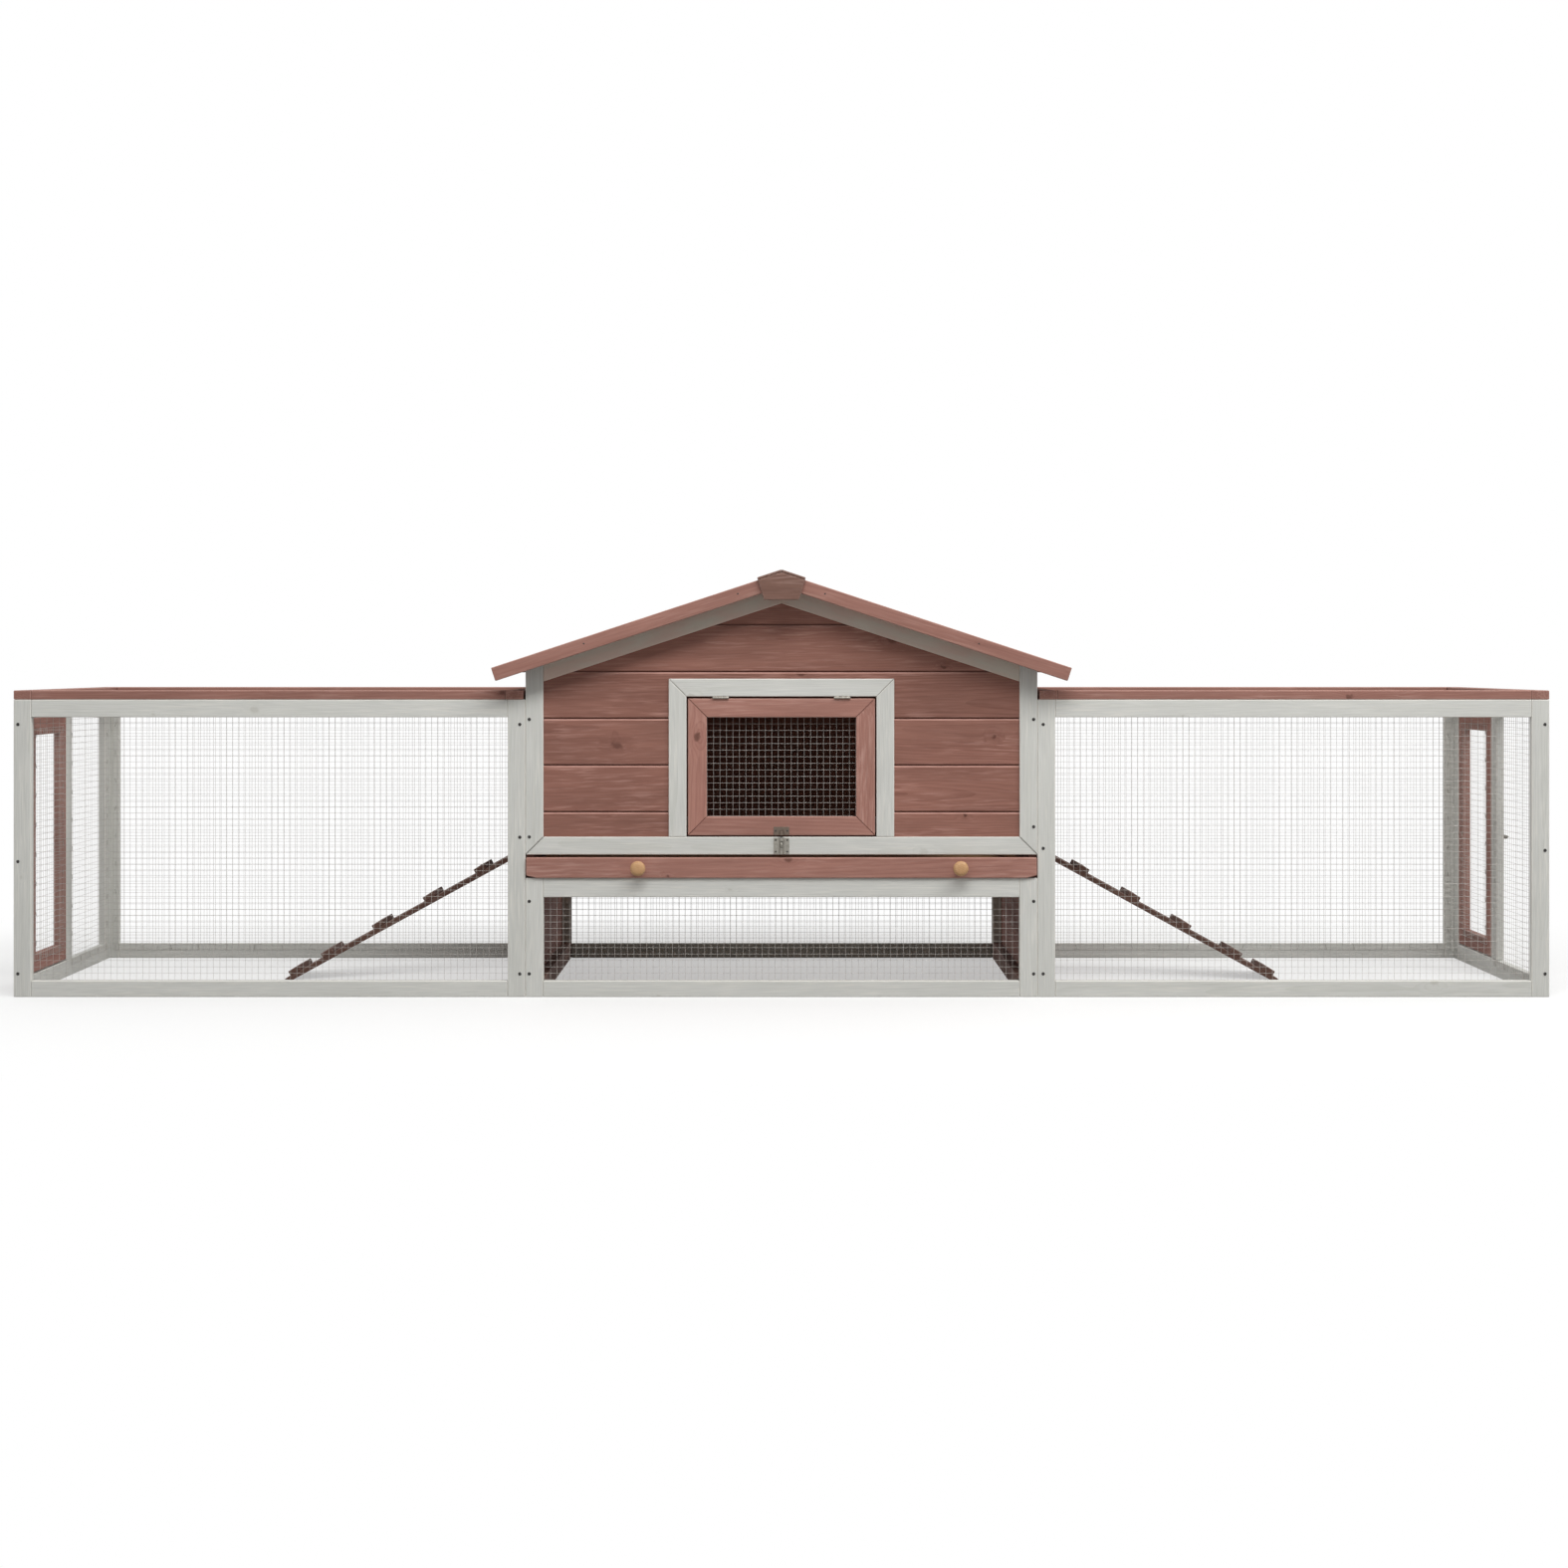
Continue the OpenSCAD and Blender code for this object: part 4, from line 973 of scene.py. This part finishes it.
def lay_floor():
    """White floor that keeps the hutch's shadow and glows away from it."""
    shape = bmesh.new()
    bmesh.ops.create_grid(shape, x_segments=1, y_segments=1, size=1)
    shape.transform(Matrix.Diagonal((FLOOR_HALF, FLOOR_HALF, 1, 1)))
    floor = from_bmesh("floor", shape)
    material, tree, shader = new_material("pale_floor")
    seen = looked_at(tree)
    tree.links.new(blend(tree, seen, FLOOR_LIT, FLOOR_SEEN), shader.inputs["Base Color"])
    shader.inputs["Roughness"].default_value = 0.9
    glow = put(tree, "ShaderNodeEmission", {"Color": (1, 1, 1, 1), "Strength": 1.0})
    place = put(tree, "ShaderNodeTexCoord").outputs["Object"]
    reach = put(
        tree, "ShaderNodeVectorMath", {0: stretch(tree, place, GLOW_STRETCH)}, operation="LENGTH"
    ).outputs["Value"]
    share = times(tree, seen, remap(tree, reach, *GLOW_REACH, *GLOW_SHARE, smooth=True))
    mix = put(tree, "ShaderNodeMixShader", {0: share, 1: shader.outputs[0], 2: glow.outputs[0]})
    sheet = next(node for node in tree.nodes if node.type == "OUTPUT_MATERIAL")
    tree.links.new(mix.outputs[0], sheet.inputs[0])
    floor.data.materials.append(material)


# Operators


class HutchOperator:
    """What all the hutch's operators share."""

    bl_options = {"REGISTER", "UNDO"}


class HUTCH_OT_stage(HutchOperator, bpy.types.Operator):
    """Camera, light and the pale floor"""

    bl_idname = "hutch.stage"
    bl_label = "Stage"

    def execute(self, context):
        view = context.scene.hutch_view
        place_camera(context.scene, view)
        hang_lamp(context.scene, view)
        light_sky(context.scene, view)
        lay_floor()
        context.scene.view_settings.view_transform = "Standard"
        return {"FINISHED"}


class HUTCH_OT_frames(HutchOperator, bpy.types.Operator):
    """White frames and the casing of the doorway, from separate planed members"""

    bl_idname = "hutch.frames"
    bl_label = "White frames"

    def execute(self, context):
        for node in nodes_of("white_paint"):
            timber(node, context.scene.hutch_sizes.arris)
        return {"FINISHED"}


class HUTCH_OT_boards(HutchOperator, bpy.types.Operator):
    """Tongue and groove boards of the walls and the roof"""

    bl_idname = "hutch.boards"
    bl_label = "Boards"

    def execute(self, context):
        for node in nodes_of("stained_boards"):
            timber(node, 0)
        return {"FINISHED"}


class HUTCH_OT_stained(HutchOperator, bpy.types.Operator):
    """Stained members: doors, run tops, fascias, tray front, ramps, battens and ridge"""

    bl_idname = "hutch.stained"
    bl_label = "Stained members"

    def execute(self, context):
        for node in nodes_of("stained_frames", "dark_stain"):
            outdoor = node.startswith(("fascia", "left_", "right_"))
            timber(node, context.scene.hutch_sizes.arris, WEATHERED if outdoor else 0.0)
        return {"FINISHED"}


class HUTCH_OT_tray(HutchOperator, bpy.types.Operator):
    """Tray box, runners and the two turned knobs"""

    bl_idname = "hutch.tray"
    bl_label = "Tray"

    def execute(self, context):
        for node in ("tray_box", "tray_runners"):
            timber(node, context.scene.hutch_sizes.arris / 2)
        shape = bmesh.new()
        grain = shape.verts.layers.float_vector.new("grain")
        tone = shape.verts.layers.float.new("tone")
        for number, (low, high) in enumerate(solids_of("tray_knobs")):
            centre, radius, length = (low + high) / 2, (high.x - low.x) / 2, high.y - low.y
            rows = []
            for share, depth in KNOB_PROFILE:
                y, row = high.y - depth * length, []
                for i in range(KNOB_SIDES if share else 1):
                    a = 2 * math.pi * i / KNOB_SIDES
                    x, z = share * radius * math.cos(a), share * radius * math.sin(a)
                    vertex = shape.verts.new((centre.x + x, y, centre.z + z))
                    vertex[grain] = (number + depth * length, x + 0.012, z + 0.02)
                    vertex[tone] = 0.3 + 0.4 * number
                    row.append(vertex)
                rows.append(row)
            for first, second in zip(rows, rows[1:]):
                for i in range(KNOB_SIDES):
                    j = (i + 1) % KNOB_SIDES
                    ring = [first[i % len(first)], first[j % len(first)],
                            second[j % len(second)], second[i % len(second)]]
                    corners = list(dict.fromkeys(ring))
                    shape.faces.new(corners).smooth = True
        bmesh.ops.recalc_face_normals(shape, faces=shape.faces)
        settle(from_bmesh("turned_knobs", shape), "tray", "bare_pine", "tray_knobs")
        return {"FINISHED"}


class HUTCH_OT_nets(HutchOperator, bpy.types.Operator):
    """Welded half-inch nets with their staples"""

    bl_idname = "hutch.nets"
    bl_label = "Nets"

    def execute(self, context):
        sizes = context.scene.hutch_sizes
        for number, node in enumerate(nodes_of("wire_mesh")):
            centre, ways, (width, height), inner = net_place(node)
            net = add_object(node + "_wires", bpy.data.meshes.new(node + "_wires"))
            baked(net, net_tree(), {
                "Width": width - 2 * sizes.wire_r, "Height": height - 2 * sizes.wire_r,
                "Mesh": sizes.mesh, "Wire Radius": sizes.wire_r, "Material": finish("wire_mesh"),
            })
            set_in_place(net, centre, ways, inner)
            settle(net, BODY_OF[node], "wire_mesh", node)

            staples = add_object(node + "_staples", bpy.data.meshes.new(node + "_staples"))
            baked(staples, staple_tree(), {
                "Width": width - 2 * STAPLE_IN, "Height": height - 2 * STAPLE_IN,
                "Spacing": sizes.staple_gap, "Length": sizes.staple_l,
                "Thickness": sizes.staple_t, "Seed": number, "Material": finish("zinc_steel"),
            })
            lift = 2 * sizes.wire_r + sizes.staple_t / 2
            set_in_place(staples, centre + inner * lift, ways, inner)
            settle(staples, BODY_OF[node], "zinc_steel")
        return {"FINISHED"}


class HUTCH_OT_fasteners(HutchOperator, bpy.types.Operator):
    """Screws of the panels and nails of the fascias"""

    bl_idname = "hutch.fasteners"
    bl_label = "Screws and nails"

    def execute(self, context):
        sizes = context.scene.hutch_sizes
        screw = cross_head(sizes.head_r, sizes.head_h)
        places = []
        for low, high in solids_of("panel_screws"):
            centre, side = (low + high) / 2, -1 if low.y < 0 else 1
            foot = high.y if side < 0 else low.y
            places.append(((centre.x, foot, centre.z), (0, side, 0)))
        heads("post_screws", screw, "hutch", "screw_steel", places, "panel_screws")
        bpy.data.objects.remove(screw)

        nail = nail_head(sizes.nail_r, NAIL_H)
        places = []
        for low, high in solids_of("fascia_boards"):
            side = -1 if low.y < 0 else 1
            face = low.y if side < 0 else high.y
            for share in NAIL_PLACES:
                x = low.x + (high.x - low.x) * (share if low.x < 0 else 1 - share)
                z = low.z + FASCIA_H / 2 + (high.z - low.z - FASCIA_H) * share
                places.append(((x, face, z), (0, side, 0)))
        heads("fascia_nails", nail, "hutch", "screw_steel", places)
        bpy.data.objects.remove(nail)
        return {"FINISHED"}


class HUTCH_OT_hardware(HutchOperator, bpy.types.Operator):
    """Zinc of the hinges and bolts, with the small screws of their plates"""

    bl_idname = "hutch.hardware"
    bl_label = "Hinges and bolts"

    def execute(self, context):
        plate_t = context.scene.hutch_sizes.plate_t
        head = cross_head(PLATE_SCREW_R, PLATE_SCREW_H)
        for node in nodes_of("zinc_steel"):
            shape = eased(node, ZINC_ARRIS)
            mark_arrises(shape, ZINC_ARRIS_W)
            shade = shape.verts.layers.float.new("shade")
            places = []
            for group in islands(shape):
                low, high = box_of(group)
                size, centre = high - low, (low + high) / 2
                thin, short, long = sorted(range(3), key=lambda i: size[i])
                if size[thin] < PLATE_MIN_T or size[short] < PLATE_MIN_W:
                    continue
                keeper = size[short] < KEEPER_RATIO * size[long]
                for v in group:
                    v[shade] = KEEPER_SHADE if keeper else 0.0
                side = 1 if centre[thin] > 0 else -1
                foot = (low if side > 0 else high)[thin] + side * plate_t
                for a in (-1, 1):
                    for b in ((0,) if keeper else (-1, 1)):
                        spot, way = centre.copy(), Vector((0, 0, 0))
                        spot[thin], way[thin] = foot, side
                        spot[long] += PLATE_SCREW_OUT * a * size[long]
                        spot[short] += PLATE_SCREW_OUT * b * size[short]
                        places.append((tuple(spot), tuple(way)))
            settle(from_bmesh(node + "_zinc", shape), BODY_OF[node], "zinc_steel", node)
            if places:
                heads(node + "_screws", head, BODY_OF[node], "screw_steel", places)
        bpy.data.objects.remove(head)
        return {"FINISHED"}


class HUTCH_PT_parts(bpy.types.Panel):
    """The hutch's pieces in the order in which they are made"""

    bl_label = "Long rabbit hutch"
    bl_space_type = "VIEW_3D"
    bl_region_type = "UI"
    bl_category = "Hutch"

    def draw(self, context):
        for maker in MAKERS:
            self.layout.operator(maker.bl_idname)
        for setting, kind in SETTINGS:
            box = self.layout.box()
            for name in kind.__annotations__:
                box.prop(getattr(context.scene, setting), name)


MAKERS = (
    HUTCH_OT_stage, HUTCH_OT_frames, HUTCH_OT_boards, HUTCH_OT_stained, HUTCH_OT_tray,
    HUTCH_OT_nets, HUTCH_OT_fasteners, HUTCH_OT_hardware,
)
SETTINGS = (("hutch_colours", HutchColours), ("hutch_sizes", HutchSizes), ("hutch_view", HutchView))


def register():
    """Registers the settings, the operators and the panel."""
    for name, group in SETTINGS:
        bpy.utils.register_class(group)
        setattr(bpy.types.Scene, name, bpy.props.PointerProperty(type=group))
    for thing in (*MAKERS, HUTCH_PT_parts):
        bpy.utils.register_class(thing)


def unregister():
    """Takes all of it back."""
    for thing in (HUTCH_PT_parts, *reversed(MAKERS)):
        bpy.utils.unregister_class(thing)
    for name, group in reversed(SETTINGS):
        delattr(bpy.types.Scene, name)
        bpy.utils.unregister_class(group)


def main():
    """Makes the whole hutch."""
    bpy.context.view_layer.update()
    register()
    for maker in MAKERS:
        group, name = maker.bl_idname.split(".")
        getattr(getattr(bpy.ops, group), name)()


if __name__ == "__main__":
    main()
